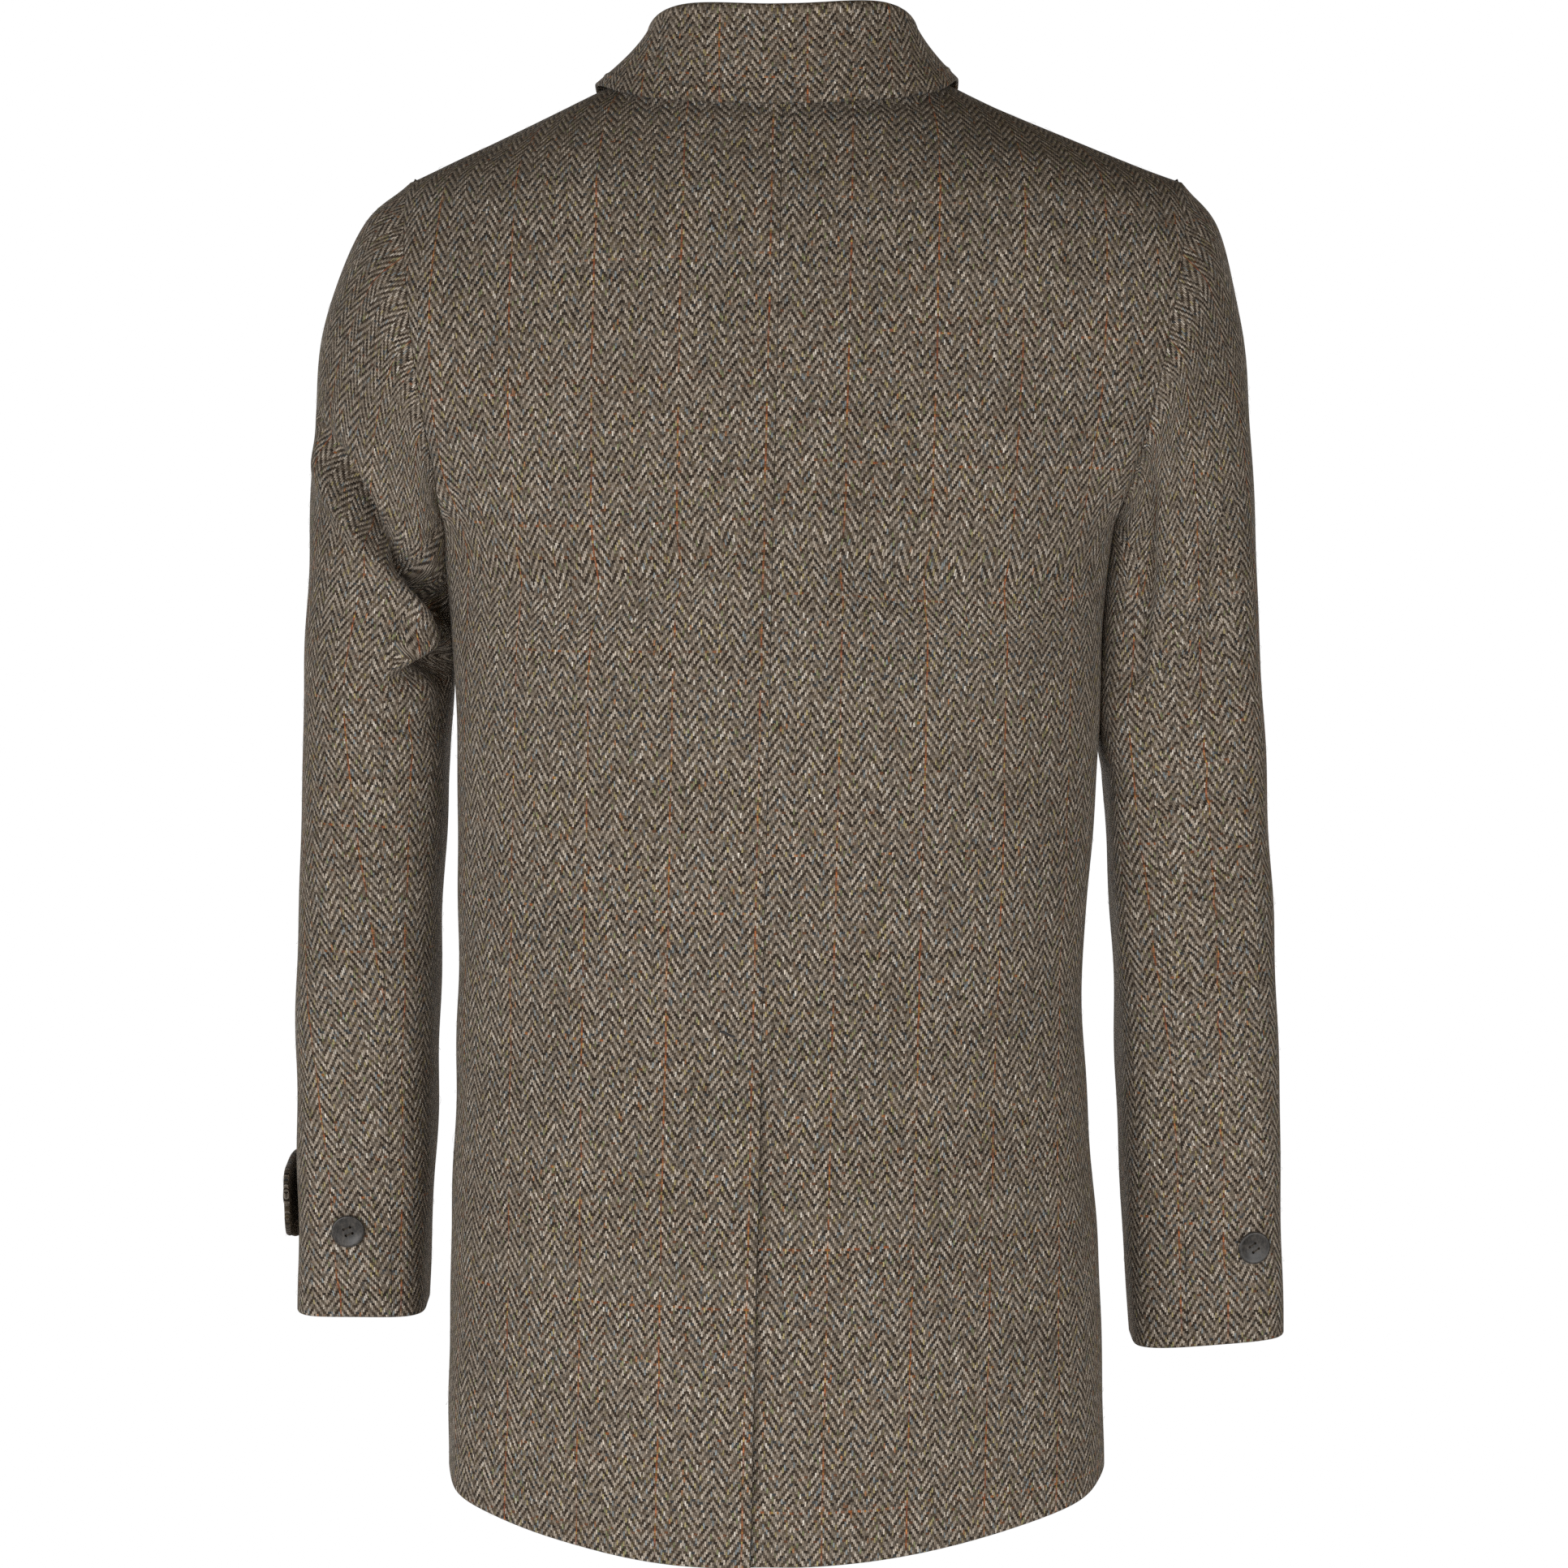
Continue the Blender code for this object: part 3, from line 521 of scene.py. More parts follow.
def body_wall(side, face, share, level):
    """Points of the body's outer skin and the directions out of it."""
    lifted = np.clip(level, EDGE_STEP, 3 - EDGE_STEP)
    inside = np.clip(share, EDGE_STEP, 1 - EDGE_STEP)
    spot = body(side, face, share, level)
    core_z = spot[..., 2] - CORE_DROP * ease((level - 1.5) / 1.5)
    middle = points(spot[..., 0] * CORE_OUT, SIDE_SEAM_Y, core_z)
    normal = outward(lambda u, v: body(side, face, u, v), inside, lifted, middle)
    from_armpit = ease((level - 1 + ARMHOLE_CALM) / ARMHOLE_CALM)
    at_armhole = from_armpit * (1 - ease((1 - share) / SEAM_CALM))
    at_neck = 1 - ease((3 - level) / (2 * SEAM_CALM))
    swing = flared(side, face, share, level) + uneven(spot) * (1 - at_armhole) * (1 - at_neck)
    full = UNDERARM_FULL[side] * np.exp(-(((spot[..., 2] - UNDERARM_HEIGHT) / UNDERARM_REACH) ** 2))
    swing = swing + full * ease((share - 1 + UNDERARM_SHARE) / UNDERARM_SHARE) * (1 - at_armhole)
    if face == "back":
        swing = swing - collar_press(spot)
    return spot + normal * swing[..., None], normal


print(len(FLARES), "flares of up to", max(abs(f.depth) for f in FLARES) * 1000, "mm")

# %% [markdown]
# ## The form of the sleeves
#
# A two-piece sleeve is a bent tube. Its rings lean at the armhole, where the sleeve is set
# in, and lie level at the cuff. Around 0 is the outside of the arm and a quarter turn on is
# the back. The hindarm seam starts low at the armhole and comes round to the back: its table
# gives degrees around each sleeve, from the armhole at 0 to the cuff at 1.

# %% Sleeve surface
TURN_FADE = 3.2
FULL_TURN = 2 * math.pi
Hindarm = namedtuple("Hindarm", "along left right")
HINDARM = [
    Hindarm(0.00, 150, 150),
    Hindarm(0.25, 146, 146),
    Hindarm(0.45, 122, 124),
    Hindarm(0.60, 102, 109),
    Hindarm(0.71, 98, 104),
    Hindarm(0.86, 104, 97),
    Hindarm(1.00, 106, 95),
]
FOREARM_SEAM = math.radians(-108)
Ring = namedtuple("Ring", "outer outer_height inner inner_height back front middle_y squareness")
SLEEVES = {
    "left": [
        Ring(0.214, -0.066, 0.1900, -0.262, 0.070, 0.074, -0.004, 2.0),
        Ring(0.241, -0.090, 0.1912, -0.268, 0.074, 0.078, -0.010, 2.0),
        Ring(0.2635, -0.138, 0.1918, -0.279, 0.074, 0.079, -0.017, 2.0),
        Ring(0.2735, -0.205, 0.1918, -0.302, 0.070, 0.076, -0.025, 2.1),
        Ring(0.2780, -0.300, 0.1932, -0.352, 0.066, 0.071, -0.032, 2.2),
        Ring(0.2832, -0.430, 0.1988, -0.447, 0.061, 0.064, -0.038, 2.5),
        Ring(0.2878, -0.583, 0.2055, -0.587, 0.056, 0.058, -0.048, 3.0),
        Ring(0.2885, -0.7295, 0.2125, -0.7295, 0.050, 0.053, -0.062, 4.0),
    ],
    "right": [
        Ring(0.228, -0.066, 0.1880, -0.262, 0.070, 0.074, -0.004, 2.0),
        Ring(0.2505, -0.092, 0.1890, -0.268, 0.073, 0.077, -0.010, 2.0),
        Ring(0.2632, -0.142, 0.1890, -0.279, 0.072, 0.077, -0.017, 2.0),
        Ring(0.2702, -0.208, 0.1882, -0.302, 0.068, 0.073, -0.025, 2.7),
        Ring(0.2762, -0.305, 0.1868, -0.352, 0.063, 0.068, -0.032, 3.3),
        Ring(0.2834, -0.435, 0.1902, -0.447, 0.057, 0.060, -0.038, 3.7),
        Ring(0.2920, -0.593, 0.1982, -0.601, 0.051, 0.054, -0.047, 3.7),
        Ring(0.2968, -0.743, 0.2060, -0.749, 0.046, 0.049, -0.058, 4.0),
    ],
}


def rings_at(side, along):
    """Every column of a sleeve's table, read along it from 0 at the armhole to 1 at the cuff."""
    table = SLEEVES[side]
    step = np.asarray(along, float) * (len(table) - 1)
    return Ring(*(smooth(step, range(len(table)), column) for column in zip(*table)))


def ring_point(side, around, along):
    """A point of the sleeve's plain form."""
    at = rings_at(side, along)
    power = 2 / at.squareness
    across, aside = np.cos(around), np.sin(around)
    across = np.sign(across) * np.abs(across) ** power
    aside = np.sign(aside) * np.abs(aside) ** power
    reach = np.where(aside > 0, at.back, at.front) * aside
    turn = ARMHOLE_TURN * (1 - ease(np.asarray(along) * TURN_FADE))
    out = mix(at.inner, at.outer, (1 + across) / 2) + turn * reach
    height = mix(at.inner_height, at.outer_height, (1 + across) / 2)
    return points(SHOULDERS[side].sign * out, at.middle_y + reach, height)


def hindarm(side, along):
    """The angle of the hindarm seam along a sleeve."""
    return np.radians(read(HINDARM, side, along))


print("left cuff is", round(2000 * SLEEVES["left"][-1].back), "mm deep")

# %% [markdown]
# ## Creases of the sleeves
#
# An arm that hangs forward pushes the spare cloth at the back of the armhole into a few
# creases. They could come from a cloth simulation, but where each one runs is known, so
# they are listed one by one: each is a line on the sleeve, with a trough along it and a roll of
# spare cloth on one side. The trough falls away sharply under the roll and rises softly on its
# other side. A depth below 0 is a swelling. Each point of a line gives how far out and how high it
# is and how strong the crease is there. The front of the sleeves gets creases of the same kind.

# %% Crease table
Crease = namedtuple("Crease", "side face depth sharp soft roll line")
CREASES = [
    Crease("left", "back", 0.014, 0.0042, 0.0080, 0.0034, [
        (0.267, -0.209, 0.35), (0.262, -0.223, 0.95), (0.254, -0.238, 1.40), (0.244, -0.254, 1.50),
        (0.236, -0.266, 1.45), (0.225, -0.279, 1.50), (0.215, -0.290, 1.70), (0.205, -0.301, 1.80),
        (0.195, -0.313, 1.80)]),
    Crease("left", "back", 0.012, 0.0035, 0.0090, -0.0035, [
        (0.227, -0.352, 0.20), (0.214, -0.347, 0.95), (0.202, -0.340, 1.65), (0.192, -0.336, 1.80)]),
    Crease("left", "back", 0.010, 0.0060, 0.0060, 0.0, [
        (0.199, -0.305, 1.00), (0.196, -0.325, 1.30), (0.193, -0.350, 1.20), (0.192, -0.368, 0.40)]),
    Crease("left", "back", 0.003, 0.0080, 0.0120, 0.0012, [
        (0.238, -0.372, 0.40), (0.217, -0.377, 1.00), (0.195, -0.380, 1.00)]),
    Crease("left", "back", 0.0016, 0.0200, 0.0200, 0.0008, [
        (0.280, -0.465, 0.50), (0.250, -0.480, 1.00), (0.218, -0.500, 0.60)]),
    Crease("left", "front", 0.006, 0.0130, 0.0180, 0.0024, [
        (0.266, -0.225, 0.40), (0.235, -0.265, 0.90), (0.204, -0.300, 1.20)]),
    Crease("left", "front", 0.0040, 0.0140, 0.0190, 0.0018, [
        (0.276, -0.350, 0.40), (0.245, -0.362, 1.00), (0.208, -0.380, 0.80)]),
    Crease("left", "front", 0.0030, 0.0150, 0.0200, 0.0014, [
        (0.278, -0.430, 0.50), (0.248, -0.445, 1.00), (0.212, -0.450, 0.70)]),
    Crease("right", "back", 0.011, 0.0045, 0.0095, 0.0015, [
        (0.206, -0.220, 0.40), (0.209, -0.254, 1.00), (0.210, -0.290, 1.10), (0.208, -0.307, 1.00),
        (0.204, -0.347, 0.60)]),
    Crease("right", "inner", -0.0050, 0.0300, 0.0300, 0.0, [
        (0.188, -0.275, 0.70), (0.187, -0.330, 1.20), (0.188, -0.370, 1.20), (0.190, -0.410, 0.10)]),
    Crease("right", "back", 0.0045, 0.0060, 0.0140, -0.0024, [
        (0.249, -0.264, 0.60), (0.246, -0.308, 1.00), (0.241, -0.352, 0.60)]),
    Crease("right", "back", 0.0016, 0.0200, 0.0200, 0.0008, [
        (0.278, -0.460, 0.50), (0.248, -0.472, 1.00), (0.214, -0.482, 0.60)]),
    Crease("right", "front", 0.006, 0.0140, 0.0190, 0.0024, [
        (0.262, -0.235, 0.40), (0.234, -0.275, 0.90), (0.206, -0.310, 1.20)]),
    Crease("right", "front", 0.0040, 0.0150, 0.0200, 0.0018, [
        (0.272, -0.360, 0.40), (0.242, -0.375, 1.00), (0.206, -0.390, 0.80)]),
    Crease("right", "front", 0.0028, 0.0150, 0.0200, 0.0012, [
        (0.278, -0.450, 0.50), (0.248, -0.460, 1.00), (0.212, -0.465, 0.70)]),
]


print(len(CREASES), "creases, the deepest", max(c.depth for c in CREASES) * 1000, "mm at strength 1")

# %% Creased sleeves
ROLL_AWAY = 0.6
ROLL_REACH = 0.8
FACE_SLOPE = 2.2
FACE_START = 0.2
SET_IN = 0.05
FACING = {"back": np.sin, "front": lambda around: -np.sin(around), "inner": lambda around: -np.cos(around)}


def crease_profile(crease, aside):
    """The depth across a crease: aside is positive on the side of its roll."""
    trough = np.exp(-((aside / np.where(aside > 0, crease.sharp, crease.soft)) ** 2))
    from_roll = aside - crease.sharp - ROLL_AWAY * crease.soft
    roll = np.exp(-((from_roll / (ROLL_REACH * crease.soft)) ** 2))
    return abs(crease.roll) * roll - crease.depth * trough


def creased(side, spot, around):
    """How far the creases move a point of a sleeve in or out."""
    at = np.stack([np.abs(spot[..., 0]), spot[..., 2]], axis=-1)
    shift = np.zeros(at.shape[:-1])
    for crease in CREASES:
        if crease.side != side:
            continue
        nearest = np.full(shift.shape, np.inf)
        turn = np.zeros(shift.shape)
        strength = np.zeros(shift.shape)
        for first, second in zip(crease.line, crease.line[1:]):
            run = np.subtract(second, first)[:2]
            along = np.clip(((at - first[:2]) @ run) / (run @ run), 0, 1)
            away = at - (first[:2] + along[..., None] * run)
            far = np.linalg.norm(away, axis=-1)
            closer = far < nearest
            nearest = np.where(closer, far, nearest)
            turn = np.where(closer, away[..., 1] * run[0] - away[..., 0] * run[1], turn)
            strength = np.where(closer, mix(first[2], second[2], along), strength)
        aside = np.sign(turn) * (-1 if crease.roll < 0 else 1) * nearest
        shown = ease(FACING[crease.face](around) * FACE_SLOPE - FACE_START)
        shift += strength * crease_profile(crease, aside) * shown
    return shift


def sleeve_wall(side, around, along):
    """Points of the sleeve's outer skin and the directions out of it."""
    spot = ring_point(side, around, along)
    at = rings_at(side, along)
    middle = points(SHOULDERS[side].sign * (at.outer + at.inner) / 2, at.middle_y,
                    (at.outer_height + at.inner_height) / 2)
    held = np.clip(along, EDGE_STEP, 1 - EDGE_STEP)
    normal = outward(lambda u, v: ring_point(side, u, v), around, held, middle)
    set_in = ease(np.asarray(along) / SET_IN)
    shift = (creased(side, spot, around) + uneven(spot)) * set_in
    return spot + normal * shift[..., None], normal


deepest = min(creased("left", ring_point("left", math.pi / 2, np.linspace(0, 1, 99)), math.pi / 2))
print(f"the back of the left sleeve sinks up to {-deepest * 1000:.1f} mm")

# %% [markdown]
# ## The form of the collar
#
# The collar is one band: the stand goes up from the neck seam, and the fall rolls over the
# top of it and comes down outside. The table gives its sizes at the middle of the back,
# over the shoulder and at the front edge.

# %% Collar surface
Collar = namedtuple("Collar", "round_neck stand lean edge_out edge_drop spread")
COLLAR = [
    Collar(0.0, 0.039, 0.016, 0.019, 0.018, 0.000),
    Collar(0.5, 0.038, 0.017, 0.020, 0.015, 0.000),
    Collar(1.0, 0.029, 0.020, 0.020, 0.0070, 0.000),
    Collar(1.5, 0.022, 0.010, 0.028, 0.022, 0.006),
    Collar(2.0, 0.016, 0.002, 0.034, 0.052, 0.034),
]
COLLAR_SHORT = 0.006
SHOULDER_SLOPE = 0.45
COLLAR_LIFT = 0.0006
COLLAR_ROLL = 0.0048
ROLL_START = 0.80
STAND_TOP = 0.70
FALL_BEND = 0.30
FALL_STIFFNESS = 0.6
SHORT_REACH = 0.30
NECK_STEP = 0.02
UP = np.array([0.0, 0.0, 1.0])


def neck(round_neck):
    """The neck seam: 0 is the middle of the back, 1 the left shoulder seam and 2 the front edge."""
    q = np.asarray(round_neck, float)
    turn = np.abs(q)
    shape = np.zeros(q.shape + (3,))
    for side in SHOULDERS:
        here = q >= 0 if side == "left" else q < 0
        back = body(side, "back", np.clip(turn, 0, 1), 3.0)
        front = body(side, "front", np.clip(2 - turn, 0, 1), 3.0)
        shape = np.where(here[..., None], np.where((turn <= 1)[..., None], back, front), shape)
    return shape


def collar_lines(round_neck):
    """The neck line, the fold and the outer edge of the collar."""
    q = np.asarray(round_neck, float)
    base = neck(q)
    ahead = neck(np.clip(q + NECK_STEP, -2, 2)) - neck(np.clip(q - NECK_STEP, -2, 2))
    ahead[..., 2] = 0
    out = unit(np.cross(ahead, UP))
    out = np.where((out * (base * [1, 1, 0])).sum(-1, keepdims=True) < 0, -out, out)
    size = {name: read(COLLAR, name, np.abs(q))[..., None] for name in Collar._fields[1:]}
    sideways = np.sign(q)[..., None] * np.array([1.0, 0.0, 0.0])
    fold = base + UP * size["stand"] - out * size["lean"]
    short = COLLAR_SHORT * np.exp(-(((q + 1) / SHORT_REACH) ** 2))[..., None]
    edge_out, edge_drop = size["edge_out"] - short, size["edge_drop"] - SHOULDER_SLOPE * short
    edge = base + out * edge_out - UP * edge_drop + sideways * size["spread"]
    return base, fold, edge, out


def collar_section(round_neck, along):
    """A point of the collar: along runs from the neck seam up the stand, over the fold at 1 and down to
    the edge at 2."""
    base, fold, edge, out = collar_lines(round_neck)
    along = np.asarray(along, float)[..., None]
    foot = base - out * CLOTH + UP * COLLAR_LIFT
    below = fold - UP * COLLAR_ROLL
    stand = mix(foot, below, np.clip(along / ROLL_START, 0, 1))
    turn = math.pi * np.clip((along - ROLL_START) / (2 - 2 * ROLL_START), 0, 1)
    roll = below + out * COLLAR_ROLL * (1 - np.cos(turn)) + UP * COLLAR_ROLL * np.sin(turn)
    fall = np.clip((along - 2 + ROLL_START) / ROLL_START, 0, 1)
    top = below + out * COLLAR_ROLL * 2
    drop = np.linalg.norm(edge - top, axis=-1, keepdims=True)
    bend = mix(top - UP * drop * FALL_BEND, (top + edge) / 2, FALL_STIFFNESS)
    hang = (1 - fall) ** 2 * top + 2 * fall * (1 - fall) * bend + fall**2 * edge
    return np.where(along < ROLL_START, stand, np.where(fall > 0, hang, roll))


def collar_wall(round_neck, along):
    """Points of the collar's outer skin and the directions out of it."""
    q = np.clip(round_neck, -2 + EDGE_STEP, 2 - EDGE_STEP)
    spot = collar_section(round_neck, along)
    held = np.clip(along, EDGE_STEP, 2 - EDGE_STEP)
    around = collar_section(q + EDGE_STEP, held) - collar_section(q - EDGE_STEP, held)
    up = collar_section(q, held + EDGE_STEP) - collar_section(q, held - EDGE_STEP)
    normal = unit(np.cross(up, around))
    return spot + normal * (uneven(spot) * ease(held / STAND_TOP))[..., None], normal


print("collar fold at the back:", collar_section(np.array(0.0), np.array(1.0)).round(3))

# %% [markdown]
# ## Tweed
#
# Herringbone is a twill that changes direction every few threads. In a twill each warp
# thread goes over two weft threads and under two, and each neighbour does the same one step
# later. It could be painted as stripes, but here the shader counts the threads: from the
# place on the cloth it works out which warp and which weft thread cross there, which of them
# lies on top, and so its colour and height. A light warp and a dark weft give the zigzag.
# Flecks are chance colours for single floats, the stretches where a thread lies on top. About
# every fiftieth thread is rust, which gives the overcheck. The place on the cloth comes from each
# piece's own UV map, in metres, so that the pattern follows the grain of that piece.

# %% Colours of the yarn
WARP_COLOURS = [
    (0.00, (0.370, 0.306, 0.243)),
    (0.18, (0.530, 0.456, 0.376)),
    (0.40, (0.445, 0.376, 0.307)),
    (0.58, (0.594, 0.525, 0.445)),
    (0.71, (0.300, 0.244, 0.188)),
    (0.82, (0.420, 0.352, 0.178)),
    (0.88, (0.275, 0.307, 0.318)),
    (0.93, (0.400, 0.200, 0.100)),
    (0.945, (0.265, 0.275, 0.148)),
    (0.97, (0.700, 0.646, 0.572)),
]
WEFT_COLOURS = [
    (0.00, (0.053, 0.036, 0.024)),
    (0.32, (0.088, 0.062, 0.042)),
    (0.57, (0.037, 0.026, 0.018)),
    (0.80, (0.120, 0.087, 0.049)),
    (0.90, (0.053, 0.058, 0.063)),
    (0.97, (0.150, 0.066, 0.032)),
]
WORN_COLOUR = (0.205, 0.170, 0.133, 1.0)
RUST_COLOURS = [
    (0.00, (0.480, 0.145, 0.042)),
    (0.40, (0.340, 0.085, 0.030)),
    (0.70, (0.510, 0.215, 0.052)),
    (0.88, (0.480, 0.335, 0.080)),
]
print(len(WARP_COLOURS), "warp and", len(WEFT_COLOURS), "weft colours")

# %% Herringbone node group
WAVER_SCALE = 45.0
WAVER = (0.0016, 0.0016, 0.0)
HAIRINESS_SCALE = 1000.0
HAIRINESS = (0.0009, 0.0010, 0.0)
HALF = (0.5, 0.5, 0.5)
TWILL_REPEAT = 4.0
FLOAT_LENGTH = 2.0


def add_socket(tree, name, kind, in_out="INPUT"):
    """A named input or output of a node tree."""
    return tree.interface.new_socket(name, in_out=in_out, socket_type="NodeSocket" + kind)


tweed_group = bpy.data.node_groups.new("herringbone tweed", "ShaderNodeTree")
add_socket(tweed_group, "Place on Cloth", "Vector")
# Two inputs paint light into the colour: painted shade over rolled edges and seams, and a painted lightness
for name in ("Warp Spacing", "Weft Spacing", "Threads in a Column", "Warps in a Check",
             "Wefts in a Check", "Rust", "Fuzz", "Pressed", "Lightness"):
    add_socket(tweed_group, name, "Float")
add_socket(tweed_group, "Colour", "Color", "OUTPUT")
add_socket(tweed_group, "Height", "Float", "OUTPUT")

w = Wiring(tweed_group)
given = w.add("NodeGroupInput").outputs
place = given["Place on Cloth"]

# Threads waver slowly over the cloth and their edges are hairy
moved = place
for scale, reach in ((WAVER_SCALE, WAVER), (HAIRINESS_SCALE, HAIRINESS)):
    stray_way = w.vectors("SUBTRACT", w.noise(place, scale, output=1), HALF)
    moved = w.vectors("ADD", moved, w.vectors("MULTIPLY", stray_way, reach))
spread = w.add("ShaderNodeSeparateXYZ", {0: moved}).outputs

# Which warp and weft thread, and how far across each
across = w.math("DIVIDE", spread[0], given["Warp Spacing"])
along = w.math("DIVIDE", spread[1], given["Weft Spacing"])
warp, weft = w.math("FLOOR", across), w.math("FLOOR", along)
in_warp, in_weft = w.math("FRACT", across), w.math("FRACT", along)

# The twill: its step counts up in even columns and down in odd ones
column = w.math("FLOOR", w.math("DIVIDE", warp, given["Threads in a Column"]))
in_column = w.math("SUBTRACT", warp, w.math("MULTIPLY", column, given["Threads in a Column"]))
odd = w.math("FLOORED_MODULO", column, 2.0)
lean = w.math("SUBTRACT", 1.0, w.math("MULTIPLY", odd, 2.0))
step = w.math("ADD", weft, w.math("MULTIPLY", lean, in_column))
phase = w.math("FLOORED_MODULO", step, TWILL_REPEAT)
warp_up = w.math("LESS_THAN", phase, FLOAT_LENGTH)
print("herringbone group:", len(tweed_group.nodes), "nodes so far")

# %% Relief of the threads
HAIR_SCALE = 2600.0
WARP_SWELL = (0.5, 0.5)
WEFT_SWELL = (0.5, 0.3)


def crown(share):
    """1 in the middle of a thread and 0 at its two edges."""
    centred = w.math("SUBTRACT", w.math("MULTIPLY", share, 2.0), 1.0)
    return w.math("SUBTRACT", 1.0, w.math("MULTIPLY", centred, centred))


warp_run = w.math("DIVIDE", w.math("ADD", phase, in_weft), FLOAT_LENGTH)
onward = w.between(odd, in_warp, w.math("SUBTRACT", 1.0, in_warp))
weft_run = w.math("DIVIDE", w.math("ADD", w.math("SUBTRACT", phase, FLOAT_LENGTH), onward), FLOAT_LENGTH)
warp_relief = w.math("MULTIPLY", crown(in_warp), w.math("MULTIPLY_ADD", crown(warp_run), *WARP_SWELL))
weft_relief = w.math("MULTIPLY", crown(in_weft), w.math("MULTIPLY_ADD", crown(weft_run), *WEFT_SWELL))
relief = w.between(warp_up, weft_relief, warp_relief)
hairs = w.noise(place, HAIR_SCALE, 2.0)
height = w.math("MULTIPLY_ADD", w.math("SUBTRACT", hairs, 0.5), given["Fuzz"], relief)
print("herringbone group:", len(tweed_group.nodes), "nodes with relief")

# %% Colours of the floats
weft_step = w.math("SUBTRACT", step, FLOAT_LENGTH)
warp_count = w.math("FLOOR", w.math("DIVIDE", step, TWILL_REPEAT))
weft_count = w.math("FLOOR", w.math("DIVIDE", weft_step, TWILL_REPEAT))


def warp_chance(seed):
    """A chance value for each float of the warp."""
    return w.chance(w.vector(warp, warp_count, seed))


def weft_chance(seed):
    """A chance value for each float of the weft."""
    return w.chance(w.vector(weft, weft_count, seed))


warp_colour = w.ramp(warp_chance(3.0), WARP_COLOURS, steps=True)
weft_colour = w.ramp(weft_chance(7.0), WEFT_COLOURS, steps=True)
print("herringbone group:", len(tweed_group.nodes), "nodes with colours")

# %% Rust overcheck
RUST_LINE_SCALE = 48.0
RUST_FADE = (0.38, 0.58)
RUST_WARP_GAPS = 0.12
RUST_WEFT_GAPS = 0.45
RUST_WEFT_STRENGTH = 0.75
RUST_SHOWS_THROUGH = 0.45


def line_of(thread_number, check):
    """1 on one thread of every check and 0 on the others."""
    return w.math("LESS_THAN", w.math("FLOORED_MODULO", thread_number, check), 0.5)


# One warp thread and one weft thread of every check are rust, and the lines come and go
warp_line = line_of(warp, given["Warps in a Check"])
weft_line = line_of(weft, given["Wefts in a Check"])
shows = w.math("MULTIPLY", w.span(w.noise(place, RUST_LINE_SCALE, 2.0), *RUST_FADE), given["Rust"])
rust_warp = w.math("MULTIPLY", warp_line, shows)
rust_weft = w.math("MULTIPLY", weft_line, shows)
rust = w.ramp(w.chance(w.vector(warp, weft, 11.0)), RUST_COLOURS, steps=True)
dashes = w.math("GREATER_THAN", warp_chance(13.0), RUST_WARP_GAPS)
warp_colour = w.blend(w.math("MULTIPLY", rust_warp, dashes), warp_colour, rust)
dashes = w.math("MULTIPLY", w.math("GREATER_THAN", weft_chance(17.0), RUST_WEFT_GAPS), RUST_WEFT_STRENGTH)
weft_colour = w.blend(w.math("MULTIPLY", rust_weft, dashes), weft_colour, rust)

# Rust yarn is thick, so it shows a little between the weft threads too
weft_colour = w.blend(w.math("MULTIPLY", rust_warp, RUST_SHOWS_THROUGH), weft_colour, rust)
colour = w.blend(warp_up, weft_colour, warp_colour)
print("herringbone group:", len(tweed_group.nodes), "nodes with the overcheck")

# %% Spinning and wear
STREAK_WIDTHS = {"warp": (1500.0, 330.0, 0.0), "weft": (330.0, 1300.0, 5.0)}
STREAKS = 1.40
CLOUD_SCALE = 16.0
CLOUDS = 0.40
LEAST_LIGHT = 0.10
FLOAT_LIGHT = (0.40, 0.80)
GAP_LIGHT = (0.50, 0.55)
# Painted shade: how much darker the tweed is painted over rolled edges and in seam grooves
PAINTED_SHADE_DARKER = 0.60
WEAR = (0.50, 1.0, 0.0, 0.70)


def spun_streaks(across_scale, along_scale, seed):
    """Lighter and darker streaks along the threads."""
    place_x = w.math("MULTIPLY", spread[0], across_scale)
    place_y = w.math("MULTIPLY", spread[1], along_scale)
    return w.noise(w.vector(place_x, place_y, seed), 1.0)


# Some floats are rubbed, so that the two colours of yarn mix there
worn = w.span(w.between(warp_up, weft_chance(37.0), warp_chance(31.0)), *WEAR)
worn = w.math("MULTIPLY", worn, w.math("SUBTRACT", 1.0, warp_line))
colour = w.blend(worn, colour, WORN_COLOUR)

# Yarn is spun unevenly, so each thread has streaks along it and some floats are lighter
spun = w.between(warp_up, spun_streaks(*STREAK_WIDTHS["weft"]), spun_streaks(*STREAK_WIDTHS["warp"]))
cloudy = w.noise(place, CLOUD_SCALE, 2.0)
value = w.math("ADD", w.math("MULTIPLY", spun, STREAKS), w.math("MULTIPLY", cloudy, CLOUDS))
float_light = w.between(warp_up, weft_chance(23.0), warp_chance(29.0))
float_light = w.math("MULTIPLY_ADD", float_light, *FLOAT_LIGHT)
value = w.math("MULTIPLY", w.math("ADD", value, LEAST_LIGHT), float_light)

# Less light gets in between the threads, and painted shade darkens the cloth over rolled edges and in seam
# grooves
gaps = w.math("MULTIPLY_ADD", w.math("POWER", w.math("MAXIMUM", relief, 0.0), 0.5), *GAP_LIGHT)
# Painted light: the whole colour is scaled by a painted lightness, which is above 1 on the collar
value = w.math("MULTIPLY", w.math("MULTIPLY", value, gaps), given["Lightness"])
painted_shade_factor = w.math("SUBTRACT", 1.0, w.math("MULTIPLY", given["Pressed"], PAINTED_SHADE_DARKER))
value = w.math("MULTIPLY", value, painted_shade_factor)
shaded = w.add("ShaderNodeVectorMath", {0: colour, "Scale": value}, operation="SCALE").outputs[0]
w.add("NodeGroupOutput", {"Colour": shaded, "Height": height})
print("herringbone group:", len(tweed_group.nodes), "nodes in all")

# %% Tweed material
WARPS_IN_CHECK = 48.0
WEFTS_IN_CHECK = 50.0
CHECK_WIDTH = 0.0495
CHECK_LENGTH = 0.0740
COLUMN_THREADS = 8.0
WEAVE_STRENGTH = 0.7
WEAVE_HEIGHT = 0.0008


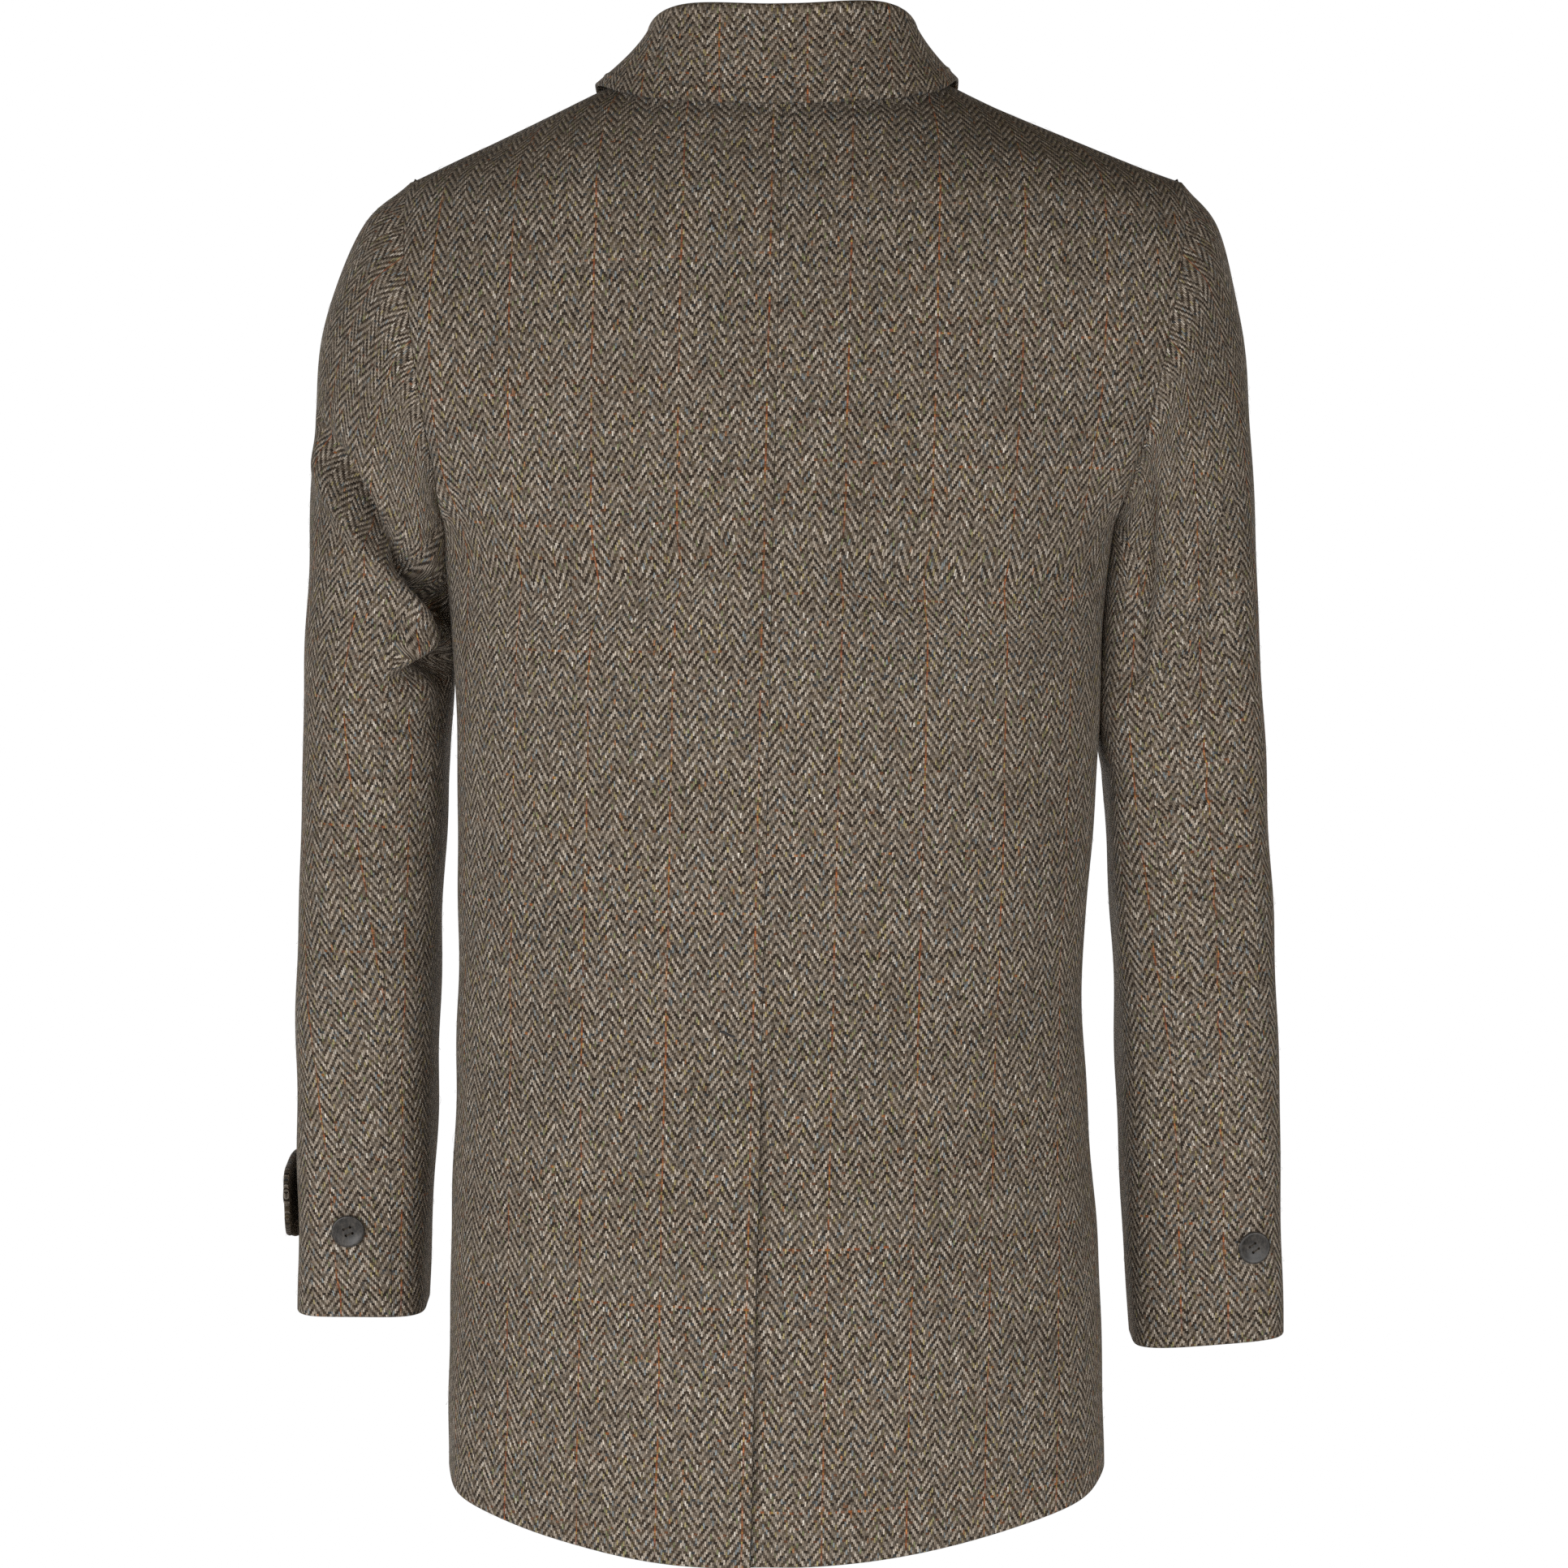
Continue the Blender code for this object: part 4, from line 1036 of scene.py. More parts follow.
def tweed_material(name, painted_lightness):
    """The tweed, woven from the cloth's own UV map, its colour scaled by a painted lightness."""
    material, wires, shader = new_material(name, roughness=0.92)
    woven = wires.add("ShaderNodeGroup", node_tree=tweed_group)
    for socket, value in {
        "Place on Cloth": wires.add("ShaderNodeUVMap", uv_map="cloth").outputs[0],
        "Warp Spacing": CHECK_WIDTH / WARPS_IN_CHECK,
        "Weft Spacing": CHECK_LENGTH / WEFTS_IN_CHECK,
        "Threads in a Column": COLUMN_THREADS,
        "Warps in a Check": WARPS_IN_CHECK,
        "Wefts in a Check": WEFTS_IN_CHECK,
        "Rust": 0.9,
        "Fuzz": 0.5,
        # painted shade over rolled edges and in seam grooves
        "Pressed": wires.add("ShaderNodeAttribute", attribute_name="pressed").outputs["Fac"],
        # painted light: scales the whole colour, lighter on the collar
        "Lightness": painted_lightness,
    }.items():
        wires.feed(woven.inputs[socket], value)
    wires.feed(shader.inputs["Base Color"], woven.outputs["Colour"])
    wires.feed(shader.inputs["Normal"], wires.bump(woven.outputs["Height"], WEAVE_STRENGTH, WEAVE_HEIGHT))
    shader.inputs["Specular IOR Level"].default_value = 0.25
    shader.inputs["Sheen Weight"].default_value = 0.08
    shader.inputs["Sheen Roughness"].default_value = 0.5
    return material


tweed = tweed_material("herringbone tweed", 1.0)
# Painted light: the collar is the same cloth, painted 1.22 times lighter for the light that the standing
# collar catches
collar_tweed_painted_lighter = tweed_material("herringbone tweed of the collar", 1.22)
print(f"check of {CHECK_WIDTH * 1000:.1f} by {CHECK_LENGTH * 1000:.1f} mm")

# %% [markdown]
# ## Cloth as a shell
#
# A piece of cloth is laid out as a grid of points on a form, with the direction out of the
# form at each. A Solidify modifier would give it thickness with square edges. Tweed edges
# are folds, so the shell is built by hand instead: an outer grid and an inner grid that
# share their border, with a few close rows near the border that follow a half circle. A seam
# is pressed, so its edges are rolled over a shorter way than a free edge, and where two pieces
# meet they make only a narrow groove. How far a point is over the roll is kept as an attribute,
# and the tweed paints shade from it: the cloth is painted darker over every rolled edge and in
# every seam groove.

# %% Edges of the cloth
ROLL_STEPS = np.array([0.0, 0.2, 0.45, 0.8, 1.2, 1.9])
ROLL_WIDTH = 0.0011
FREE = 0.0011
PRESSED = 0.0005
ZONE_RAMP = 0.06
TICK_SAMPLES = 2000
Edges = namedtuple("Edges", "first last bottom top")


def ticks(count, first, last, zone=(0.0, 1.0), density=1.0):
    """Steps from 0 to 1, closer together in the zone and at both ends. First and last are the shares that
    the width of a roll takes."""
    start, end = ROLL_STEPS * first, 1 - ROLL_STEPS[::-1] * last
    tries = np.linspace(0, 1, TICK_SAMPLES)
    in_zone = ease((tries - zone[0]) / ZONE_RAMP) * ease((zone[1] - tries) / ZONE_RAMP)
    steps = np.cumsum(1 + (density - 1) * in_zone)
    between = np.interp(np.linspace(steps[0], steps[-1], count), steps, tries)
    return np.concatenate([start, mix(start[-1], end[0], between)[1:-1], end])


def lengths(spots, axis):
    """How far along the grid each point is, from the first line of points."""
    steps = np.linalg.norm(np.diff(spots, axis=axis), axis=-1)
    return np.concatenate([np.zeros_like(steps.take([0], axis)), np.cumsum(steps, axis=axis)], axis=axis)


def over_edge(spots, edges):
    """How far a point is over the roll of the nearest edge: 1 at the edge and 0 where the roll starts."""
    across, up = lengths(spots, 1), lengths(spots, 0)
    shares = (across / edges.first, (across[:, -1:] - across) / edges.last,
              up / edges.bottom, (up[-1:] - up) / edges.top)
    return np.clip(1 - np.minimum.reduce(shares), 0, 1)


def pull_in(spots, amount):
    """Draws the four edges of a grid of points in, or out if the amount is below 0."""
    for axis in (0, 1):
        lines = np.moveaxis(spots, axis, 0)
        for edge, inner in ((0, 2), (-1, -3)):
            lines[edge] += unit(lines[inner] - lines[edge]) * amount
    return spots


print("free edges are rolled over", FREE * 1000, "mm and seams over", PRESSED * 1000, "mm")

# %% Shell of cloth
BAKE_SPLIT = 0.62
BAKE_MARGIN = 0.006


def quads(index, spots, normals):
    """The faces between the points of a grid, turned to look the way of the normals."""
    corners = [index[:-1, :-1], index[:-1, 1:], index[1:, 1:], index[1:, :-1]]
    faces = np.stack(corners, axis=-1).reshape(-1, 4)
    i, j = index.shape[0] // 2, index.shape[1] // 2
    facing = np.cross(spots[i, j + 1] - spots[i, j], spots[i + 1, j] - spots[i, j]) @ normals[i, j]
    return faces if facing > 0 else faces[:, ::-1]


def bake_places(spots, on_grid, outside_size):
    """A flat place for each corner of a shell's faces: the outside on the left and the inside beside it."""
    run_u, run_v = lengths(spots, 1), lengths(spots, 0)
    flat_u = (run_u / run_u[:, -1:]).reshape(-1)[on_grid]
    flat_v = (run_v / run_v[-1:]).reshape(-1)[on_grid]
    is_inside = np.arange(len(on_grid)) >= outside_size
    start = np.where(is_inside, BAKE_SPLIT + BAKE_MARGIN, BAKE_MARGIN)
    width = np.where(is_inside, 1 - BAKE_SPLIT, BAKE_SPLIT) - 2 * BAKE_MARGIN
    return np.stack([start + width * flat_u, BAKE_MARGIN + (1 - 2 * BAKE_MARGIN) * flat_v], axis=-1)


def shell(name, spots, normals, grain_map, edges, thick, material):
    """A closed shell of cloth with rolled edges. Its UV maps are the grain of the cloth and one to bake."""
    rows, columns = spots.shape[:2]
    spots = pull_in(spots.copy(), SEAM / 2)
    radius = np.broadcast_to(np.asarray(thick, float), (rows, columns)) / 2
    over = over_edge(spots, edges)
    drop = radius * (1 - np.sqrt(1 - over**2))
    outer = spots - normals * drop[..., None]
    inner = spots - normals * (2 * radius - drop)[..., None]
    index = np.arange(rows * columns).reshape(rows, columns)
    inner_index = index.copy()
    middle = (rows - 2) * (columns - 2)
    inner_index[1:-1, 1:-1] = rows * columns + np.arange(middle).reshape(rows - 2, columns - 2)
    verts = np.concatenate([outer.reshape(-1, 3), inner[1:-1, 1:-1].reshape(-1, 3)])
    outside = quads(index, outer, normals)
    faces = np.concatenate([outside, quads(inner_index, outer, normals)[:, ::-1]])
    mesh = bpy.data.meshes.new(name)
    mesh.from_pydata(verts.tolist(), [], faces.tolist())
    mesh.shade_smooth()
    grid_point = np.concatenate([index.reshape(-1), index[1:-1, 1:-1].reshape(-1)])
    on_grid = grid_point[faces.reshape(-1)]
    # Painted shade: how far each point is over the roll, which the tweed paints darker along edges and
    # seams
    pressed = mesh.attributes.new("pressed", "FLOAT", "POINT")
    pressed.data.foreach_set("value", over.reshape(-1)[grid_point].astype(np.float32))
    maps = {"cloth": grain_map.reshape(-1, 2)[on_grid], "OFBake": bake_places(spots, on_grid, outside.size)}
    for map_name, places in maps.items():
        layer = mesh.uv_layers.new(name=map_name)
        layer.data.foreach_set("uv", places.astype(np.float32).reshape(-1))
    return add_object(name, mesh, material)


print("the outside of a piece takes", BAKE_SPLIT, "of its bake and the inside the rest")

# %% Grain of the cloth
Cut = namedtuple("Cut", "width length area")
outer_skins = {}
cloth_pieces = {}
BEHIND_WEIGHT = 0.2
CHECK = np.array([CHECK_WIDTH, CHECK_LENGTH])
CHECKS_ASIDE = 40


def flat_cut(spots):
    """The flat size of a piece: its widest row, its longest column and its area."""
    width = lengths(spots, 1)[:, -1].max()
    length = lengths(spots, 0)[-1].max()
    across, up = np.diff(spots, axis=1), np.diff(spots, axis=0)
    area = np.linalg.norm(np.cross(across[:-1], up[:, :-1]), axis=-1).sum()
    return Cut(width, length, min(area, width * length))


def cloth_piece(name, spots, normals, grain_map, edges, thick=CLOTH, material=tweed):
    """Makes the shell of one cut piece, works out its flat size and keeps its outer skin."""
    flat_cut(spots)
    outer_skins[name] = (spots, normals)
    cloth_pieces[name] = shell(name + "_cloth", spots, normals, grain_map, edges, thick, material)


def nearest(miss):
    """The row and column of a grid's least value."""
    return np.unravel_index(np.argmin(miss), miss.shape)


def line_up(spots, grain_map, out, upright, level):
    """Slides the grain so that a check's upright line goes through the point of the piece that is seen
    from behind at (out, upright), and a level line through the height given."""
    behind = BEHIND_WEIGHT * (spots[..., 1] - spots[..., 1].min())
    at, row = (nearest(np.hypot(spots[..., 0] - out, spots[..., 2] - height) - behind)
               for height in (upright, level))
    shift = np.array([grain_map[at][0], grain_map[row][1]])
    return grain_map - shift + CHECK * CHECKS_ASIDE


print("grain: uprights every", round(CHECK_WIDTH * 1000, 1), "mm")

# %% [markdown]
# ## Back and front panels
#
# The back has a seam down its middle that opens into a vent near the hem, where the left
# panel lies over the right one. The front closes left over right. A panel that runs past the
# middle is laid on the other side's surface there, and one that lies underneath is sunk by a
# little more than the thickness of the cloth, with a soft ramp. Hems are turned up inside,
# so the cloth is thicker along the bottom.

# %% Panels
UNDER_LAP = 0.0038
LAP_MARGIN = 0.004
LAP_RAMP = 0.028
FRONT_LAP = 0.026
VENT_LAP = 0.036
VENT_LEVEL = 4.01 / 12
VENT_FADE = 1 / 12
HEM_TURN = 0.038
HEM_EXTRA = 0.0014
HEM_STEP = 0.002
PANEL_WIDTH = 0.25
PANEL_COLUMNS = 78
PANEL_ROWS = 210
LINE_SAMPLES = 900
ROW_SAMPLES = 200
GRAIN_SAG = 0.25
TIP_LEVELS = np.linspace(1.86, 2.0, 15)


def middle_line(face):
    """The levels, heights and lengths of the middle of the back or front, from the hem up."""
    levels = np.linspace(0, 3, LINE_SAMPLES)
    line = body("left", face, 0.0, levels)
    return levels, line[:, 2], lengths(line, 0)


def row_lengths(side, face, level, shares):
    """How far along each row the shares are, from the middle."""
    return lengths(body(side, face, shares[None, :], level[:, None]), 1)


def warp_lengths(spots, far, up, first):
    """Lengths up the warp threads from a row on. Each thread keeps its distance from the coat's middle."""
    up = up.copy()
    for k in range(first + 1, len(spots)):
        below = np.stack([np.interp(far[k], far[k - 1], spots[k - 1, :, c]) for c in range(3)], axis=-1)
        up[k] = np.interp(far[k], far[k - 1], up[k - 1]) + np.linalg.norm(spots[k] - below, axis=-1)
    return up


def panel(side, face, past, sunk):
    """The points, outward directions and grain of one panel."""
    levels, heights, runs = middle_line(face)
    v = ticks(PANEL_ROWS, ROLL_WIDTH / runs[-1], ROLL_WIDTH / runs[-1])
    level = np.sort(np.concatenate([np.interp(v * runs[-1], runs, levels), TIP_LEVELS]))
    shares = np.linspace(0, 1, ROW_SAMPLES)
    other = "right" if side == "left" else "left"
    own_run, other_run = (row_lengths(s, face, level, shares) for s in (side, other))
    u = ticks(PANEL_COLUMNS, ROLL_WIDTH / PANEL_WIDTH, ROLL_WIDTH / PANEL_WIDTH)
    far = mix(-past(level)[:, None], own_run[:, -1:], u[None, :])
    own = np.stack([np.interp(row, run, shares) for row, run in zip(far, own_run)])
    beyond = np.stack([np.interp(-row, run, shares) for row, run in zip(far, other_run)])
    rows = np.broadcast_to(level[:, None], far.shape)
    own_spot, own_normal = body_wall(side, face, own, rows)
    other_spot, other_normal = body_wall(other, face, beyond, rows)
    here = (far >= 0)[..., None]
    spots, normals = np.where(here, own_spot, other_spot), np.where(here, own_normal, other_normal)
    spots = spots - normals * sunk(rows, far)[..., None]
    middle_z = np.interp(level, levels, heights)[:, None]
    height = mix(spots[..., 2], middle_z, GRAIN_SAG)
    up = warp_lengths(spots, far, np.interp(height, heights, runs), np.searchsorted(level, 1.0))
    grain_map = np.stack([far * SHOULDERS[side].sign, up], axis=-1)
    return spots, normals, grain_map


def vent_past(level):
    return VENT_LAP * (1 - ease((level - VENT_LEVEL) / VENT_FADE))


def vent_sunk(level, far):
    fade = 1 - ease((level - VENT_LEVEL - VENT_FADE) / VENT_FADE)
    return UNDER_LAP * fade * (1 - ease((far - LAP_MARGIN) / LAP_RAMP))


def front_past(level):
    return np.full_like(level, FRONT_LAP)


def front_sunk(level, far):
    return UNDER_LAP * (1 - ease((far - FRONT_LAP - LAP_MARGIN) / LAP_RAMP))


def level_with(level, far=None):
    return np.zeros_like(level)


def hem_thickness(from_edge):
    """Cloth is thicker near its edge, where the hem is turned up inside."""
    return CLOTH + HEM_EXTRA * ease((HEM_TURN - from_edge) / HEM_STEP)


Panel = namedtuple("Panel", "name side face past sunk out upright level")
PANELS = [
    Panel("back_left", "left", "back", level_with, level_with, 0.0081, -0.150, -0.4791),
    Panel("back_right", "right", "back", vent_past, vent_sunk, -0.0378, -0.150, -0.4472),
    Panel("front_left", "left", "front", front_past, level_with, 0.030, -0.400, -0.4700),
    Panel("front_right", "right", "front", front_past, front_sunk, -0.020, -0.400, -0.4700),
]
for part in PANELS:
    spots, normals, grain_map = panel(part.side, part.face, part.past, part.sunk)
    grain_map = line_up(spots, grain_map, part.out, part.upright, part.level)
    edges = Edges(PRESSED if part.face == "back" else FREE, PRESSED, FREE, PRESSED)
    cloth_piece(part.name, spots, normals, grain_map, edges, hem_thickness(lengths(spots, 0)))

# %% [markdown]
# ## Sleeves and cuff straps
#
# Each sleeve has a top piece and an under piece, joined by a hindarm seam at the back and a
# forearm seam at the front. Up the sleeve, the grain is measured from the cuff. Around it, the
# grain is measured from a check's upright line, which is drawn on the back of the piece by a
# few points. The sleeve was cut in two pieces, so the lines of the two don't meet. A strap lies
# on each cuff: it is made from the sleeve's own points, moved out.

# %% Sleeve grids
SLEEVE_ROWS = 224
CREASE_ZONE = (0.30, 0.66)
ZONE_DENSITY = 1.6
COLUMN_ZONES = {"top": (0.50, 1.06), "under": (-0.06, 0.45)}
COLUMN_DENSITY = 2.4
PIECE_WIDTH = 0.26
ARMHOLE_RUN = 0.60
CUFF_RUN = 0.66
Uprights = namedtuple("Uprights", "checks line")
SleevePiece = namedtuple("SleevePiece", "side name columns level uprights")
SLEEVE_PIECES = [
    SleevePiece("left", "top", 146, (0.253, -0.659), [
        Uprights(0, [(0.233, -0.211), (0.238, -0.280), (0.256, -0.354), (0.253, -0.384), (0.247, -0.444),
                     (0.236, -0.522)]),
        Uprights(1, [(0.279, -0.530), (0.268, -0.620), (0.266, -0.648), (0.264, -0.684), (0.260, -0.716)]),
    ]),
    SleevePiece("left", "under", 64, (0.222, -0.659), [
        Uprights(0, [(0.218, -0.459), (0.221, -0.522)]),
    ]),
    SleevePiece("right", "top", 146, (0.250, -0.671), [
        Uprights(0, [(0.245, -0.419), (0.252, -0.496), (0.254, -0.574)]),
    ]),
    SleevePiece("right", "under", 64, (0.222, -0.671), [
        Uprights(0, [(0.202, -0.416), (0.219, -0.535), (0.235, -0.600)]),
    ]),
]


def sleeve_grid(part):
    """Angles around a sleeve piece and steps along it."""
    side_roll = ROLL_WIDTH / PIECE_WIDTH
    columns = ticks(part.columns, side_roll, side_roll, COLUMN_ZONES[part.name], COLUMN_DENSITY)
    rows = ticks(SLEEVE_ROWS, ROLL_WIDTH / ARMHOLE_RUN, ROLL_WIDTH / CUFF_RUN, CREASE_ZONE, ZONE_DENSITY)
    u, along = np.meshgrid(columns, rows)
    seam = hindarm(part.side, along)
    if part.name == "top":
        return mix(FOREARM_SEAM, seam, u), along
    return mix(seam, FOREARM_SEAM + FULL_TURN, u), along


print(len(SLEEVE_PIECES), "sleeve pieces of", SLEEVE_ROWS, "rows")

# %% Grain of the sleeves
BACK_ANGLES = {"top": math.pi / 2, "under": 2.2}
SEEN_FROM_BEHIND = 0.1
CALM_BACK = 9
CALM_FRONT = 34
FRONT_END = 0.35
FRONT_RAMP = 0.75


def line_start(spots, around, run, uprights):
    """Where the upright line crosses each row of a sleeve piece, as a length along the row."""
    outs, heights = np.array(uprights.line).T
    found, starts = [], []
    for k, row in enumerate(spots):
        beside = (row[:, 2] < heights[0]) & (row[:, 2] > heights[-1])
        behind = beside & (np.sin(around[k]) > SEEN_FROM_BEHIND)
        miss = np.abs(row[:, 0]) - np.interp(-row[:, 2], -heights, outs)
        crossing = np.flatnonzero(behind[:-1] & behind[1:] & (miss[:-1] * miss[1:] <= 0))
        if len(crossing):
            j = crossing[0]
            found.append(k)
            starts.append(mix(run[k, j], run[k, j + 1], miss[j] / (miss[j] - miss[j + 1] + 1e-12)))
    return np.array(found), np.array(starts) + uprights.checks * CHECK_WIDTH


def calmed(values, reach):
    """The values with their quick changes from row to row evened out."""
    calm = np.exp(-((np.arange(-2 * reach, 2 * reach + 1) / reach) ** 2))
    return np.convolve(np.pad(values, 2 * reach, mode="edge"), calm / calm.sum(), mode="valid")


def sleeve_grain(part, spots, around, along):
    """Grain of a sleeve piece: lengths around it from its upright line, and along it from the cuff. On the
    front the lengths are those of the form without its creases."""
    run, up = lengths(spots, 1), lengths(spots, 0)
    plain_run = lengths(ring_point(part.side, around, along), 1)
    middle = BACK_ANGLES[part.name]
    behind = np.stack([np.interp(middle, a, r) for a, r in zip(around, run)])
    plain_behind = np.stack([np.interp(middle, a, r) for a, r in zip(around, plain_run)])
    lines = [line_start(spots, around, run, uprights) for uprights in part.uprights]
    rows, starts = (np.concatenate(pair) for pair in zip(*lines))
    order = np.argsort(rows)
    offset = np.interp(np.arange(len(run)), rows[order], (starts - behind[rows])[order])
    on_back = run - (behind + calmed(offset, CALM_BACK))[:, None]
    on_front = plain_run - (plain_behind + calmed(offset, CALM_FRONT))[:, None]
    across = mix(on_front, on_back, ease((np.sin(around) + FRONT_END) / FRONT_RAMP))
    return np.stack([across, up[-1:] - up], axis=-1)


print("the grain of a sleeve is calmed over", CALM_BACK, "rows at the back and", CALM_FRONT, "in front")

# %% Sleeves
FRONT_MISS = 0.1
for part in SLEEVE_PIECES:
    around, along = sleeve_grid(part)
    spots, normals = sleeve_wall(part.side, around, along)
    grain_map = sleeve_grain(part, spots, around, along)
    miss = np.hypot(np.abs(spots[..., 0]) - part.level[0], spots[..., 2] - part.level[1])
    level = grain_map[nearest(miss + FRONT_MISS * (np.sin(around) < 0))][1]
    grain_map = grain_map - [0.0, level] + CHECK * CHECKS_ASIDE
    down = lengths(spots, 0)
    edges = Edges(PRESSED, PRESSED, PRESSED, FREE)
    name = f"sleeve_{part.side}_{part.name}"
    cloth_piece(name, spots, normals, grain_map, edges, hem_thickness(down[-1:] - down))

# %% Cuff straps
TAB_CLOTH = 0.0032
TAB_TOP = 0.090
TAB_WIDTH = 0.054
TAB_CLEAR = 0.0006
TAB_CORNER = 0.34
TAB_NARROWING = 0.92
TAB_COLUMNS = 60
TAB_ROWS = 30
TAB_END_ROLL = 0.010
TAB_SIDE_ROLL = 0.022
LIFT_FROM = 0.375
TAB_SAMPLES = 400
Tab = namedtuple("Tab", "start end lift")
TABS = {
    "left": Tab(math.radians(-106), math.radians(10), 0.0046),
    "right": Tab(math.radians(-106), math.radians(-26), 0.0012),
}


def sleeve_along(side, around, height):
    """Where along the lower half of the sleeve the lines at these angles reach the heights."""
    tries = np.linspace(0.5, 1, TAB_SAMPLES)
    heights = ring_point(side, around[0][:, None], tries[None, :])[..., 2]
    columns = [np.interp(-height[:, k], -heights[k], tries) for k in range(height.shape[1])]
    return np.stack(columns, axis=1)


for side, tab in TABS.items():
    columns = ticks(TAB_COLUMNS, TAB_END_ROLL, TAB_END_ROLL)
    u, v = np.meshgrid(columns, ticks(TAB_ROWS, TAB_SIDE_ROLL, TAB_SIDE_ROLL))
    around = mix(tab.start, tab.end, u)
    to_end = np.clip((u - 1 + TAB_CORNER) / TAB_CORNER, 0, 1)
    narrow = (1 - TAB_NARROWING * to_end**3) ** 0.5
    height = SLEEVES[side][-1].outer_height + TAB_TOP - TAB_WIDTH * (0.5 + (0.5 - v) * narrow)
    spots, normals = sleeve_wall(side, around, sleeve_along(side, around, height))
    clear = TAB_CLEAR + TAB_CLOTH + tab.lift * ease((u - LIFT_FROM) / (1 - LIFT_FROM))
    spots = spots + normals * clear[..., None]
    grain_map = np.stack([lengths(spots, 1), spots[..., 2]], axis=-1) + 1.0
    cloth_piece(f"cuff_tab_{side}", spots, normals, grain_map, Edges(FREE, FREE, FREE, FREE), TAB_CLOTH)

# %% [markdown]
# ## Collar
#
# The fall of the collar is two layers of cloth, sewn together 8 mm from the edge. The row of
# stitches pulls the layers together, so a shallow groove runs there. The grid gets extra
# rows and columns where the groove is.

# %% Collar pieces
STITCH_INSET = 0.008
GROOVE_DEPTH = 0.0006
GROOVE_REACH = 0.0014
GROOVE_STEPS = np.array([0.72, 0.81, 0.87, 0.93, 1.0, 1.07, 1.13, 1.19, 1.28])
COLLAR_COLUMNS = 230
FALL_ROWS = 44
STAND_ROWS = 14
FALL_RUN = 0.079
COLLAR_RUN = 0.56
FALL_ROLL = 0.014
STAND_ROLL = 0.03
END_ROLL = 0.002
COLLAR_UPRIGHT = (-0.0128, 0.0)
COLLAR_LEVEL = -0.010


def with_groove(shares, inset):
    """Adds close steps to a list of shares on both sides of a groove."""
    close = inset * GROOVE_STEPS
    kept = shares[(shares < close[0]) | (shares > close[-1])]
    return np.sort(np.concatenate([kept, close]))


def fall_groove(spots):
    """How far in the fall is pulled by its stitches, along its outer edge and its two ends."""
    up, across = lengths(spots, 0), lengths(spots, 1)
    far = np.minimum(up[-1:] - up, np.minimum(across, across[:, -1:] - across))
    return GROOVE_DEPTH * np.exp(-(((far - STITCH_INSET) / GROOVE_REACH) ** 2))


def turned(shares):
    """The same steps counted from the other end."""
    return 1 - shares[::-1]


fall_shares = turned(with_groove(turned(ticks(FALL_ROWS, FALL_ROLL, FALL_ROLL)), STITCH_INSET / FALL_RUN))
end_inset = STITCH_INSET / COLLAR_RUN
half = with_groove(ticks(COLLAR_COLUMNS, END_ROLL, END_ROLL), end_inset)
collar_columns = turned(with_groove(turned(half), end_inset))
collar_rows = {
    "collar_fall": mix(STAND_TOP, 2.0, fall_shares),
    "collar_stand": STAND_TOP * ticks(STAND_ROWS, STAND_ROLL, STAND_ROLL),
}
for name, rows in collar_rows.items():
    u, v = np.meshgrid(mix(-2, 2, collar_columns), rows)
    spots, normals = collar_wall(u, v)
    if name == "collar_fall":
        spots = spots - normals * fall_groove(spots)[..., None]
    run = lengths(spots, 1)
    middle = np.stack([np.interp(0.0, u[0], row) for row in run])
    grain_map = np.stack([run - middle[:, None], -lengths(spots, 0)], axis=-1)
    grain_map = line_up(spots, grain_map, *COLLAR_UPRIGHT, COLLAR_LEVEL)
    edges = Edges(FREE, FREE, PRESSED, FREE if name == "collar_fall" else PRESSED)
    cloth_piece(name, spots, normals, grain_map, edges, material=collar_tweed_painted_lighter)

# %% [markdown]
# ## Buttons
#
# The buttons are turned from a dark horn-like plastic, with a rim, a dished middle and four
# holes. A lathe shape is a profile that is spun round. The holes are cut with a Boolean, and
# the thread through them is a few short tubes. Where each button sits is read from its CAD
# node: its middle, and the direction in which it is thinnest.

# %% Horn material
HORN_COLOURS = [
    (0.35, (0.014, 0.0135, 0.013)),
    (0.52, (0.034, 0.032, 0.031)),
    (0.70, (0.075, 0.067, 0.060)),
]
HORN_TURN = (0.3, 0.5, 0.9)
HORN_STRETCH = (1.0, 0.22, 0.5)
HORN_POLISH = (0.0, 1.0, 0.28, 0.50)
STREAK_SCALE = 900.0
MOTTLE_SCALE = 260.0
SCRATCH_SCALE = 2400.0
STREAK_SHARE = 0.6
MOTTLE_SHARE = 0.5

horn, wires, shader = new_material("dark horn", roughness=0.36)
here = wires.add("ShaderNodeTexCoord").outputs["Object"]
drawn = wires.add("ShaderNodeMapping", {"Vector": here, "Rotation": HORN_TURN, "Scale": HORN_STRETCH})
streaks = wires.noise(drawn.outputs[0], STREAK_SCALE, 4.0)
mottle = wires.noise(here, MOTTLE_SCALE, 3.0)
shade = wires.math("MULTIPLY_ADD", mottle, MOTTLE_SHARE, wires.math("MULTIPLY", streaks, STREAK_SHARE))
wires.feed(shader.inputs["Base Color"], wires.ramp(shade, HORN_COLOURS))
wires.feed(shader.inputs["Roughness"], wires.span(streaks, *HORN_POLISH))
scratches = wires.noise(here, SCRATCH_SCALE, 2.0)
wires.feed(shader.inputs["Normal"], wires.bump(scratches, strength=0.15, distance=0.0002))
print("horn:", len(horn.node_tree.nodes), "nodes")

# %% Thread material
THREAD_COLOURS = [(0.3, (0.030, 0.022, 0.015)), (0.7, (0.085, 0.064, 0.045))]

thread, wires, shader, plies = speckled(
    "brown thread", THREAD_COLOURS, roughness=0.8, scale=3000.0, detail=2.0)
wires.feed(shader.inputs["Normal"], wires.bump(plies, strength=0.4, distance=0.0001))
print("thread:", len(thread.node_tree.nodes), "nodes")

